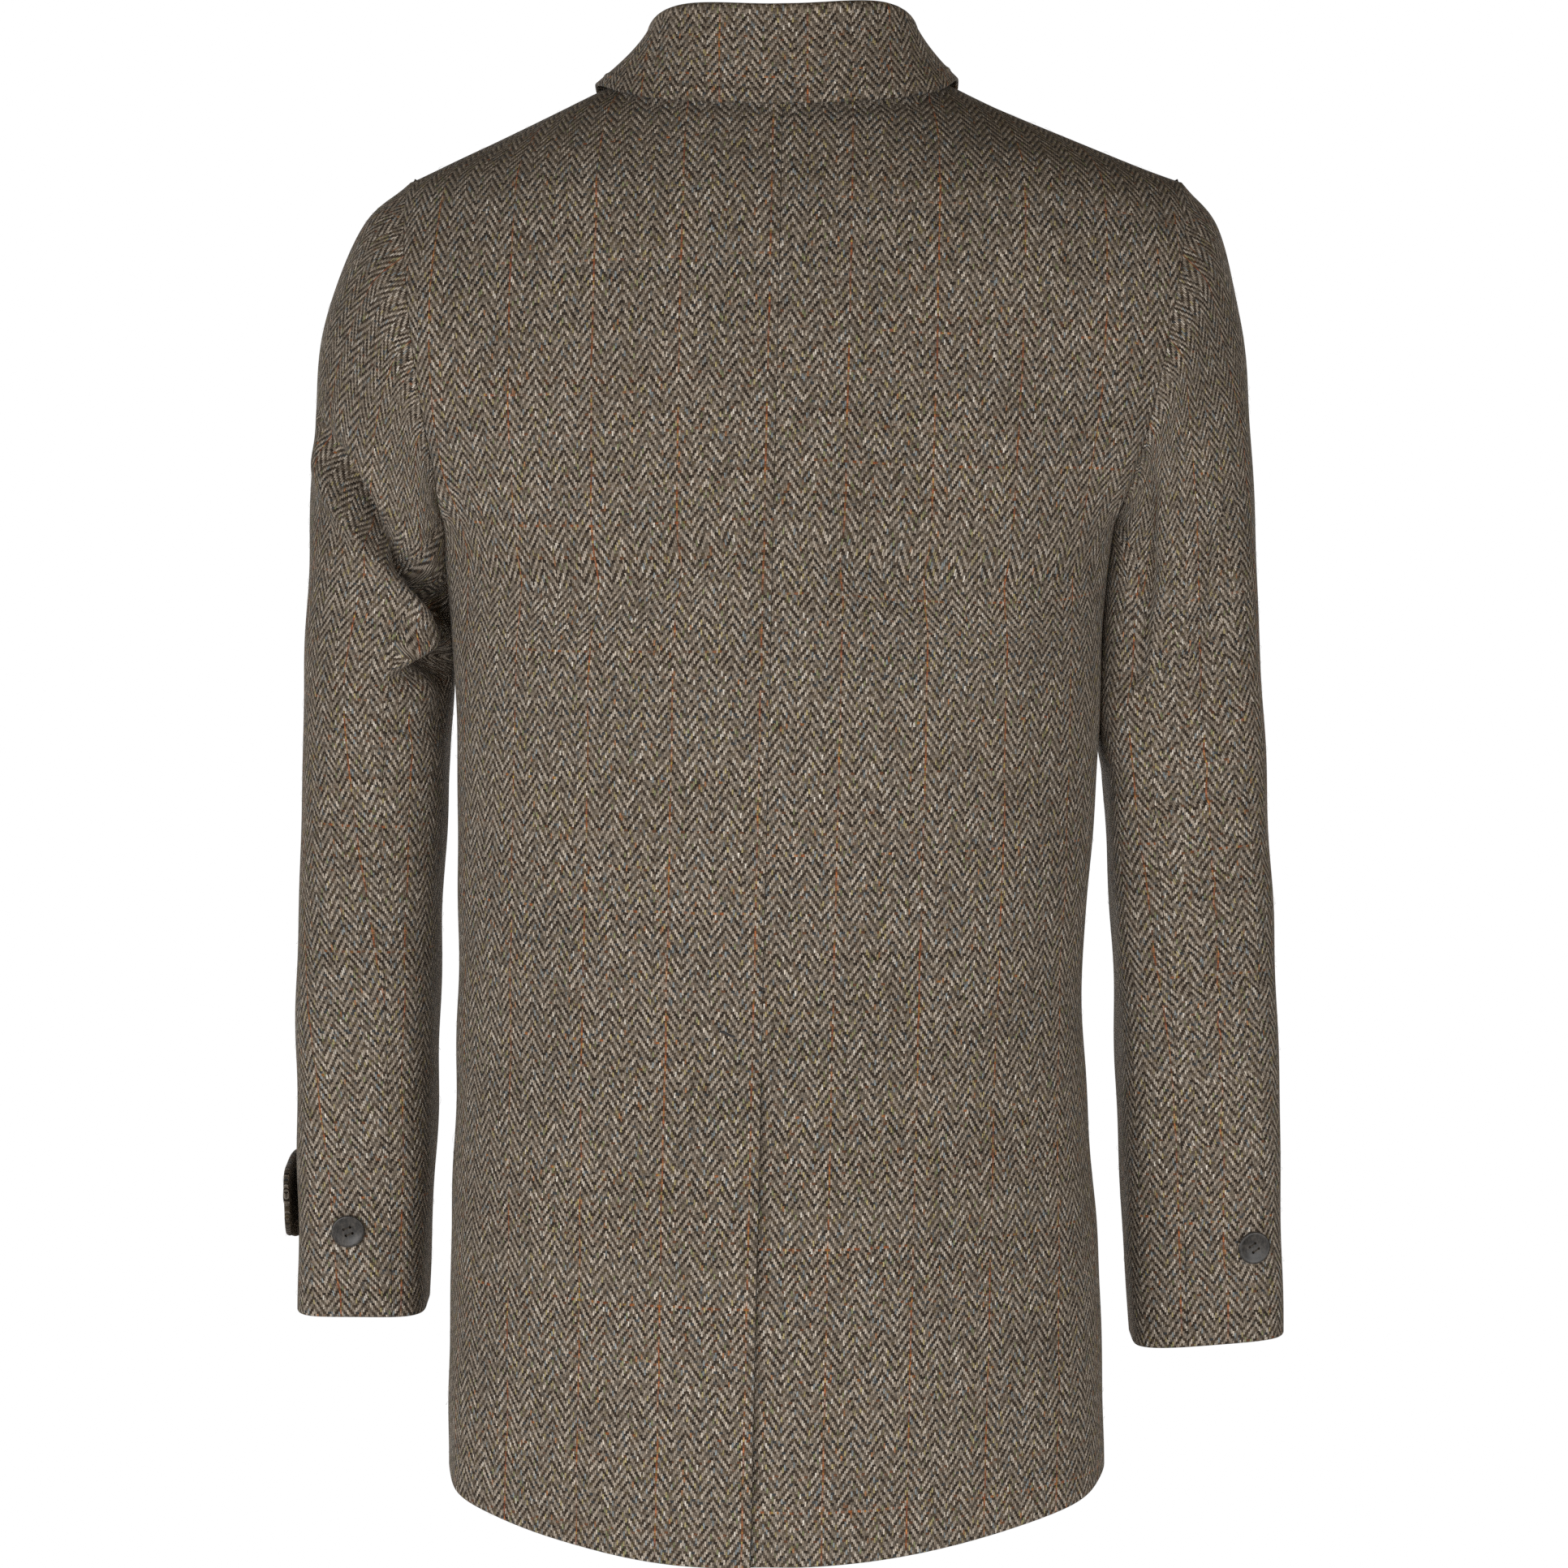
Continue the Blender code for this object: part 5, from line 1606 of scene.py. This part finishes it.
# %% Turned button
BUTTON_THICK = 0.0034
BUTTON_SEGMENTS = 72
HOLE_SEGMENTS = 20
HOLE_RADIUS = 0.085
HOLE_PLACE = 0.144
BUTTON_PROFILE = [
    (0.000, 0.66), (0.250, 0.66), (0.420, 0.69), (0.580, 0.77), (0.700, 0.87), (0.800, 0.95), (0.880, 0.99),
    (0.940, 0.98), (0.980, 0.90), (1.000, 0.74), (0.985, 0.54), (0.920, 0.32), (0.800, 0.13), (0.500, 0.02),
    (0.000, 0.00),
]


def plain_mesh(obj):
    """Turns an object with modifiers into a plain mesh."""
    depsgraph = bpy.context.evaluated_depsgraph_get()
    mesh = bpy.data.meshes.new_from_object(obj.evaluated_get(depsgraph))
    obj.modifiers.clear()
    obj.data = mesh
    return obj


def turned_button(across):
    """A button of this size lying on the origin, facing up, with its four holes cut."""
    radius = across / 2
    bm = bmesh.new()
    line = [bm.verts.new((r * radius, 0.0, h * BUTTON_THICK)) for r, h in BUTTON_PROFILE]
    edges = [bm.edges.new(pair) for pair in zip(line, line[1:])]
    bmesh.ops.spin(bm, geom=line + edges, axis=(0, 0, 1), angle=FULL_TURN, steps=BUTTON_SEGMENTS)
    bmesh.ops.remove_doubles(bm, verts=bm.verts, dist=1e-6)
    bmesh.ops.recalc_face_normals(bm, faces=bm.faces)
    blank = add_object("button_blank", mesh_of(bm, "button_blank"), horn)
    drill = bmesh.new()
    for quarter in range(4):
        angle = math.pi / 4 + quarter * math.pi / 2
        at = Vector((math.cos(angle), math.sin(angle), 0)) * HOLE_PLACE * across
        hole = HOLE_RADIUS * radius
        bmesh.ops.create_cone(drill, cap_ends=True, segments=HOLE_SEGMENTS, radius1=hole, radius2=hole,
                              depth=BUTTON_THICK * 4, matrix=Matrix.Translation(at))
    drills = add_object("button_drill", mesh_of(drill, "button_drill"), horn)
    cut = blank.modifiers.new("holes", "BOOLEAN")
    cut.object = drills
    cut.operation = "DIFFERENCE"
    cut.solver = "EXACT"
    plain_mesh(blank)
    mesh = blank.data
    bpy.data.objects.remove(drills)
    bpy.data.objects.remove(blank)
    return mesh


CUFF_BUTTON = 0.0195
FRONT_BUTTON = 0.022
button_meshes = {across: turned_button(across) for across in (CUFF_BUTTON, FRONT_BUTTON)}
print("button faces:", [len(m.polygons) for m in button_meshes.values()])

# %% Sewing thread of a button
STRAND_POINTS = 13
STRAND_RADIUS = 0.00016
STRAND_GAP = 0.00030
STRAND_RISE = 0.00030
STRAND_DIVE = 0.0022
DIVE_FROM = 0.80


def tube(bm, path, radius, sides=6):
    """A round tube along a list of points, closed at both ends."""
    rings = []
    for k, here in enumerate(path):
        ahead = (path[min(k + 1, len(path) - 1)] - path[max(k - 1, 0)]).normalized()
        aside = ahead.orthogonal().normalized()
        over = ahead.cross(aside)
        turns = [FULL_TURN * s / sides for s in range(sides)]
        spokes = [aside * math.cos(t) + over * math.sin(t) for t in turns]
        rings.append([bm.verts.new(here + spoke * radius) for spoke in spokes])
    for a, b in zip(rings, rings[1:]):
        for s in range(sides):
            bm.faces.new((a[s], a[(s + 1) % sides], b[(s + 1) % sides], b[s]))
    bm.faces.new(rings[0])
    bm.faces.new(rings[-1])


def button_thread(across):
    """Two bars of thread that go over the dish of a button and down through its holes."""
    bm = bmesh.new()
    hole = HOLE_PLACE * across * math.cos(math.pi / 4)
    dish = BUTTON_THICK * BUTTON_PROFILE[0][1]
    for bar in (-1, 1):
        for strand in (-0.5, 0.5):
            path = []
            for t in np.linspace(-1, 1, STRAND_POINTS):
                aside = bar * hole + strand * STRAND_GAP * (1 - 0.5 * t * t)
                dive = STRAND_DIVE * max(abs(t) - DIVE_FROM, 0) / (1 - DIVE_FROM)
                path.append(Vector((t * hole, aside, dish + STRAND_RISE * (1 - t**4) - dive)))
            tube(bm, path, STRAND_RADIUS)
    bmesh.ops.recalc_face_normals(bm, faces=bm.faces)
    return bm


print("a button's thread is", 2 * STRAND_RADIUS * 1000, "mm thick")

# %% Buttons on the coat
CUFF_MIDDLE = (0.25, -0.055)
CUFF_TURNS = (0.35, 1.7)
FRONT_TURNS = (0.0, 0.05)
SHARP_ANGLE = math.radians(50)


def seat_of(node):
    """Where a CAD button sits: a matrix that puts its back at the origin and its front up."""
    mesh = frame["nodes"][node].data
    spots = np.empty(len(mesh.vertices) * 3)
    mesh.vertices.foreach_get("co", spots)
    spots = np.unique(spots.reshape(-1, 3).round(6), axis=0)
    centre = (spots.max(axis=0) + spots.min(axis=0)) / 2
    axis = np.linalg.svd(spots - spots.mean(axis=0))[2][2]
    low, high = ((spots - centre) @ axis).min(), ((spots - centre) @ axis).max()
    core_x, core_y = (CUFF_MIDDLE[0] * np.sign(centre[0]), CUFF_MIDDLE[1]) if "cuff" in node else (0.0, 0.0)
    if axis @ (centre - [core_x, core_y, centre[2]]) < 0:
        axis, low, high = -axis, -high, -low
    face = Vector(axis).to_track_quat("Z", "Y").to_matrix().to_4x4()
    return Matrix.Translation(Vector(centre + axis * low)) @ face


BUTTONS = {f"cuff_button_{side}_{at}": CUFF_BUTTON for side in ("left", "right") for at in ("back", "tab")}
BUTTONS.update({f"front_button_{n}": FRONT_BUTTON for n in range(1, 5)})
button_pieces = {}
sewing = bmesh.new()
for count, (node, across) in enumerate(BUTTONS.items()):
    first_turn, next_turn = CUFF_TURNS if "cuff" in node else FRONT_TURNS
    seat = seat_of(node) @ Matrix.Rotation(first_turn + next_turn * count, 4, "Z")
    mesh = button_meshes[across].copy()
    mesh.transform(seat)
    mesh.shade_smooth()
    mesh.set_sharp_from_angle(angle=SHARP_ANGLE)
    button_pieces[node] = add_object(node + "_turned", mesh)
    strands = button_thread(across)
    strands.transform(seat)
    sewing.from_mesh(mesh_of(strands, "strands"))
sewing_mesh = mesh_of(sewing, "button_thread")
sewing_mesh.shade_smooth()
button_sewing = add_object("button_thread", sewing_mesh, thread)
print(len(button_pieces), "buttons;", len(sewing_mesh.polygons), "faces of thread")

# %% [markdown]
# ## Stitches
#
# A row of stitches is one short shape repeated along a path, so Geometry Nodes lay it: the
# path becomes a curve, the curve is cut into steps of one stitch, and a small spindle of
# thread is put on each step, turned along the curve. The result is made a plain mesh.

# %% Stitch tree
stitch_tree = bpy.data.node_groups.new("row of stitches", "GeometryNodeTree")
stitch_tree.is_modifier = True
add_socket(stitch_tree, "Geometry", "Geometry")
pitch_socket = add_socket(stitch_tree, "Stitch Length", "Float")
shape_socket = add_socket(stitch_tree, "Stitch", "Object")
thread_socket = add_socket(stitch_tree, "Thread", "Material")
add_socket(stitch_tree, "Geometry", "Geometry", "OUTPUT")
g = Wiring(stitch_tree)
given = g.add("NodeGroupInput").outputs
path = g.add("GeometryNodeMeshToCurve", {"Mesh": given["Geometry"]}).outputs[0]
steps = g.add("GeometryNodeResampleCurve", {"Curve": path, "Length": given["Stitch Length"]}, mode="LENGTH")
shape = g.add("GeometryNodeObjectInfo", {"Object": given["Stitch"]}).outputs["Geometry"]
ahead = g.add("GeometryNodeInputTangent").outputs[0]
way = g.add("FunctionNodeAlignRotationToVector", {"Vector": ahead}, axis="X").outputs[0]
laid = g.add("GeometryNodeInstanceOnPoints", {
    "Points": steps.outputs[0],
    "Instance": shape,
    "Rotation": way,
}).outputs[0]
real = g.add("GeometryNodeRealizeInstances", {0: laid}).outputs[0]
dyed = g.add("GeometryNodeSetMaterial", {"Geometry": real, "Material": given["Thread"]}).outputs[0]
g.add("NodeGroupOutput", {"Geometry": dyed})
print("stitch tree:", len(stitch_tree.nodes), "nodes")

# %% One stitch
STITCH_LENGTH = 0.0034
STITCH_SHARE = 0.86
STITCH_SIDES = 6
STITCH_SHAPE = [(-1.0, 0.20), (-0.7, 0.75), (0.0, 1.0), (0.7, 0.75), (1.0, 0.20)]


def stitch_object(length, radius):
    """One stitch: a spindle of thread along X."""
    bm = bmesh.new()
    turns = [FULL_TURN * s / STITCH_SIDES for s in range(STITCH_SIDES)]
    rings = []
    for t, r in STITCH_SHAPE:
        ring = [(t * length / 2, r * radius * math.cos(a), r * radius * math.sin(a)) for a in turns]
        rings.append([bm.verts.new(spot) for spot in ring])
    for a, b in zip(rings, rings[1:]):
        for s in range(STITCH_SIDES):
            after = (s + 1) % STITCH_SIDES
            bm.faces.new((a[s], b[s], b[after], a[after]))
    bm.faces.new(rings[0][::-1])
    bm.faces.new(rings[-1])
    bmesh.ops.recalc_face_normals(bm, faces=bm.faces)
    return add_object("stitch", mesh_of(bm, "stitch"), thread)


print("a stitch is", round(STITCH_LENGTH * STITCH_SHARE * 1000, 1), "mm long")


# %% Paths beside the edges
def inset_path(name, inset, sides, sink):
    """Points of a piece at this distance from its edges. The edges are named as in Edges, in the order
    that the path takes, and after the first a bottom or top edge is followed back."""
    spots, normals = outer_skins[name]
    sunk = spots - normals * sink
    line = []
    for edge in sides:
        level_edge = edge in ("bottom", "top")
        lines = np.swapaxes(sunk, 0, 1) if level_edge else sunk
        runs = lengths(spots, 0).T if level_edge else lengths(spots, 1)
        beside = lengths(spots, 1)[0] if level_edge else lengths(spots, 0)[:, 0]
        kept = np.flatnonzero((inset < beside) & (beside < beside[-1] - inset))
        for k in kept[::-1] if level_edge and edge != sides[0] else kept:
            run = runs[k] if edge in ("bottom", "first") else runs[k, -1] - runs[k]
            order = np.argsort(run)
            line.append([np.interp(inset, run[order], lines[k, order, c]) for c in range(3)])
    return np.array(line)


def grown(obj, tree, inputs):
    """Lets a node tree work on an object, with its inputs set, and makes the result a plain mesh."""
    modifier = obj.modifiers.new(tree.name, "NODES")
    modifier.node_group = tree
    for socket, value in inputs.items():
        modifier[socket] = value
    plain_mesh(obj)
    obj.data.shade_smooth()
    return obj


print("the collar's path has", len(inset_path("collar_fall", STITCH_INSET, ["top"], 0.0)), "points")

# %% Rows of stitches
Topstitch = namedtuple("Topstitch", "name piece inset sides sink radius")
TOPSTITCHES = [
    Topstitch("collar_topstitch", "collar_fall", STITCH_INSET, ["top"], 0.00012, 0.00034),
    Topstitch("front_topstitch", "front_left", STITCH_INSET, ["first"], 0.00005, 0.00026),
]
for side in TABS:
    strap = f"cuff_tab_{side}"
    round_end = ["bottom", "last", "top"]
    TOPSTITCHES.append(Topstitch(strap + "_topstitch", strap, 0.006, round_end, 0.00005, 0.00026))
stitch_rows = []
for row in TOPSTITCHES:
    line = inset_path(row.piece, row.inset, row.sides, row.sink)
    mesh = bpy.data.meshes.new(row.name)
    mesh.from_pydata(line.tolist(), [(k, k + 1) for k in range(len(line) - 1)], [])
    stitch = stitch_object(STITCH_LENGTH * STITCH_SHARE, row.radius)
    faces = len(stitch.data.polygons)
    stitch_rows.append(grown(add_object(row.name, mesh), stitch_tree, {
        pitch_socket.identifier: STITCH_LENGTH,
        shape_socket.identifier: stitch,
        thread_socket.identifier: thread,
    }))
    bpy.data.objects.remove(stitch)
    print(row.name, "has", len(stitch_rows[-1].data.polygons) // faces, "stitches")

# %% [markdown]
# ## Stray fibres
#
# Tweed is hairy. Single fibres stand off the cloth, and a few coarse ones catch the light.
# A hair system would do it, but the export wants plain meshes, so Geometry Nodes scatter a
# curved fibre over the outside of the cloth, each turned and sized by chance, and give each
# a tint that the material reads.

# %% Fibre tree
FIBRE_TILT = 0.25
SMALLEST_FIBRE = (0.5, 0.5, 0.4)
LARGEST_FIBRE = (1.7, 1.5, 1.3)

fibre_tree = bpy.data.node_groups.new("stray fibres", "GeometryNodeTree")
fibre_tree.is_modifier = True
add_socket(fibre_tree, "Geometry", "Geometry")
density_socket = add_socket(fibre_tree, "Fibres per Square Metre", "Float")
seed_socket = add_socket(fibre_tree, "Seed", "Int")
fibre_socket = add_socket(fibre_tree, "Fibre", "Object")
wool_socket = add_socket(fibre_tree, "Wool", "Material")
add_socket(fibre_tree, "Geometry", "Geometry", "OUTPUT")
g = Wiring(fibre_tree)
given = g.add("NodeGroupInput").outputs
strewn = g.add("GeometryNodeDistributePointsOnFaces", {
    "Mesh": given["Geometry"],
    "Density": given["Fibres per Square Metre"],
    "Seed": given["Seed"],
}).outputs
turn_limits = {0: (-FIBRE_TILT, -FIBRE_TILT, 0.0), 1: (FIBRE_TILT, FIBRE_TILT, FULL_TURN), "Seed": 5}
turns = g.add("FunctionNodeRandomValue", turn_limits, data_type="FLOAT_VECTOR").outputs[0]
spin = g.add("FunctionNodeEulerToRotation", {0: turns}).outputs[0]
on_cloth = {0: strewn["Rotation"], 1: spin}
laid_flat = g.add("FunctionNodeRotateRotation", on_cloth, rotation_space="LOCAL").outputs[0]
size_limits = {0: SMALLEST_FIBRE, 1: LARGEST_FIBRE, "Seed": 8}
sizes = g.add("FunctionNodeRandomValue", size_limits, data_type="FLOAT_VECTOR").outputs[0]
shape = g.add("GeometryNodeObjectInfo", {"Object": given["Fibre"]}).outputs["Geometry"]
laid = g.add("GeometryNodeInstanceOnPoints", {
    "Points": strewn["Points"],
    "Instance": shape,
    "Rotation": laid_flat,
    "Scale": sizes,
}).outputs[0]
tint = g.add("FunctionNodeRandomValue", {"Seed": 21}, data_type="FLOAT").outputs[1]
tinted = {"Geometry": laid, "Name": "tint", "Value": tint}
marked = g.add("GeometryNodeStoreNamedAttribute", tinted, data_type="FLOAT", domain="INSTANCE").outputs[0]
real = g.add("GeometryNodeRealizeInstances", {0: marked}).outputs[0]
dyed = g.add("GeometryNodeSetMaterial", {"Geometry": real, "Material": given["Wool"]}).outputs[0]
g.add("NodeGroupOutput", {"Geometry": dyed})
print("fibre tree:", len(fibre_tree.nodes), "nodes")

# %% One fibre
WOOL_COLOURS = [
    (0.00, (0.32, 0.27, 0.21)),
    (0.35, (0.10, 0.07, 0.05)),
    (0.60, (0.45, 0.40, 0.33)),
    (0.80, (0.30, 0.24, 0.10)),
    (0.90, (0.30, 0.12, 0.05)),
    (0.95, (0.16, 0.18, 0.20)),
]
FIBRE_LENGTH = 0.0050
FIBRE_RADIUS = 0.00004
FIBRE_RISE = 0.0009
FIBRE_SWAY = 0.0011
FIBRE_CURL = 4.1
FIBRE_POINTS = 5

wool, wires, shader = new_material("stray wool", roughness=0.75)
tint = wires.add("ShaderNodeAttribute", attribute_name="tint").outputs["Fac"]
wires.feed(shader.inputs["Base Color"], wires.ramp(tint, WOOL_COLOURS, steps=True))

bm = bmesh.new()
path = []
for t in np.linspace(0, 1, FIBRE_POINTS):
    sway, rise = FIBRE_SWAY * math.sin(FIBRE_CURL * t), FIBRE_RISE * math.sin(math.pi * t)
    path.append(Vector((FIBRE_LENGTH * (t - 0.5), sway, rise)))
tube(bm, path, FIBRE_RADIUS, sides=3)
bmesh.ops.recalc_face_normals(bm, faces=bm.faces)
fibre = add_object("fibre", mesh_of(bm, "fibre"), wool)
fibre_faces = len(fibre.data.polygons)
print("a fibre has", fibre_faces, "faces")

# %% Stray fibres on the cloth
FIBRE_DENSITY = 2300.0
FIBRE_SEED = 3
THINNED = (slice(2, -2, 4), slice(2, -2, 3))

skin_verts, skin_faces, count = [], [], 0
for spots, normals in outer_skins.values():
    thin_spots = spots[THINNED]
    rows, columns = thin_spots.shape[:2]
    index = count + np.arange(rows * columns).reshape(rows, columns)
    skin_faces += quads(index, thin_spots, normals[THINNED]).tolist()
    skin_verts += thin_spots.reshape(-1, 3).tolist()
    count += rows * columns
skin = bpy.data.meshes.new("stray_fibres")
skin.from_pydata(skin_verts, [], skin_faces)
stray = grown(add_object("stray_fibres", skin), fibre_tree, {
    density_socket.identifier: FIBRE_DENSITY,
    seed_socket.identifier: FIBRE_SEED,
    fibre_socket.identifier: fibre,
    wool_socket.identifier: wool,
})
bpy.data.objects.remove(fibre)
print("stray fibres:", len(stray.data.polygons) // fibre_faces)

# %% [markdown]
# ## Slubs
#
# Here and there a thick, dark bit of unspun wool is caught in the yarn. Three on the back are
# large enough to see. They could be drawn in the weave's shader, but a slub stands up from the
# cloth, so each is a short tube that is half sunk in the cloth and follows it.

# %% Slubs on the back
Slub = namedtuple("Slub", "out height run rise thick")
SLUBS = [
    Slub(0.032, -0.546, 0.0085, 0.0022, 0.0007),
    Slub(0.013, -0.520, 0.0042, 0.0004, 0.0005),
    Slub(0.150, -0.495, 0.0012, 0.0034, 0.0005),
]
SLUB_COLOURS = [(0.3, (0.026, 0.026, 0.030)), (0.7, (0.055, 0.052, 0.052))]
SLUB_SWAY = 0.0005
SLUB_CURL = 5
SLUB_RAISED = 0.1
SLUB_POINTS = 9
NEAR_POINTS = 4

dark_wool = speckled("dark wool", SLUB_COLOURS, roughness=0.85, scale=1800.0, detail=2.0)[0]
bm = bmesh.new()
skin_spots = outer_skins["back_left"][0].reshape(-1, 3)
for slub in SLUBS:
    path = []
    for t in np.linspace(-0.5, 0.5, SLUB_POINTS):
        sway = SLUB_SWAY * math.sin(SLUB_CURL * t)
        aim = np.array([slub.out + slub.run * t, slub.height + slub.rise * t + sway])
        far = np.linalg.norm(skin_spots[:, [0, 2]] - aim, axis=1)
        close = np.argsort(far)[:NEAR_POINTS]
        share = 1 / (far[close] + 1e-6)
        depth = (skin_spots[close, 1] * share).sum() / share.sum()
        path.append(Vector((aim[0], depth + slub.thick * SLUB_RAISED, aim[1])))
    tube(bm, path, slub.thick)
bmesh.ops.recalc_face_normals(bm, faces=bm.faces)
slub_mesh = mesh_of(bm, "slubs")
slub_mesh.shade_smooth()
slubs = add_object("slubs", slub_mesh, dark_wool)
print(len(SLUBS), "slubs of", len(slub_mesh.polygons), "faces")

# %% [markdown]
# ## Joining the pieces to the frame
#
# The coat has no joints, so every piece rides on the one body. Each shell stands for its CAD
# solid, which is hidden and stays for collisions.

# %% Cloth pieces ride on the coat
for name, piece in cloth_pieces.items():
    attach(piece, "root")
    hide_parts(name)
print(len(cloth_pieces), "pieces of cloth ride on the coat")

# %% Buttons, stitches and fibres ride on the coat
for name, piece in button_pieces.items():
    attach(piece, "root")
    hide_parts(name)
for piece in [button_sewing, stray, slubs, *stitch_rows]:
    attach(piece, "root")
print(len(button_pieces), "buttons and", len(stitch_rows), "rows of stitches ride on the coat")
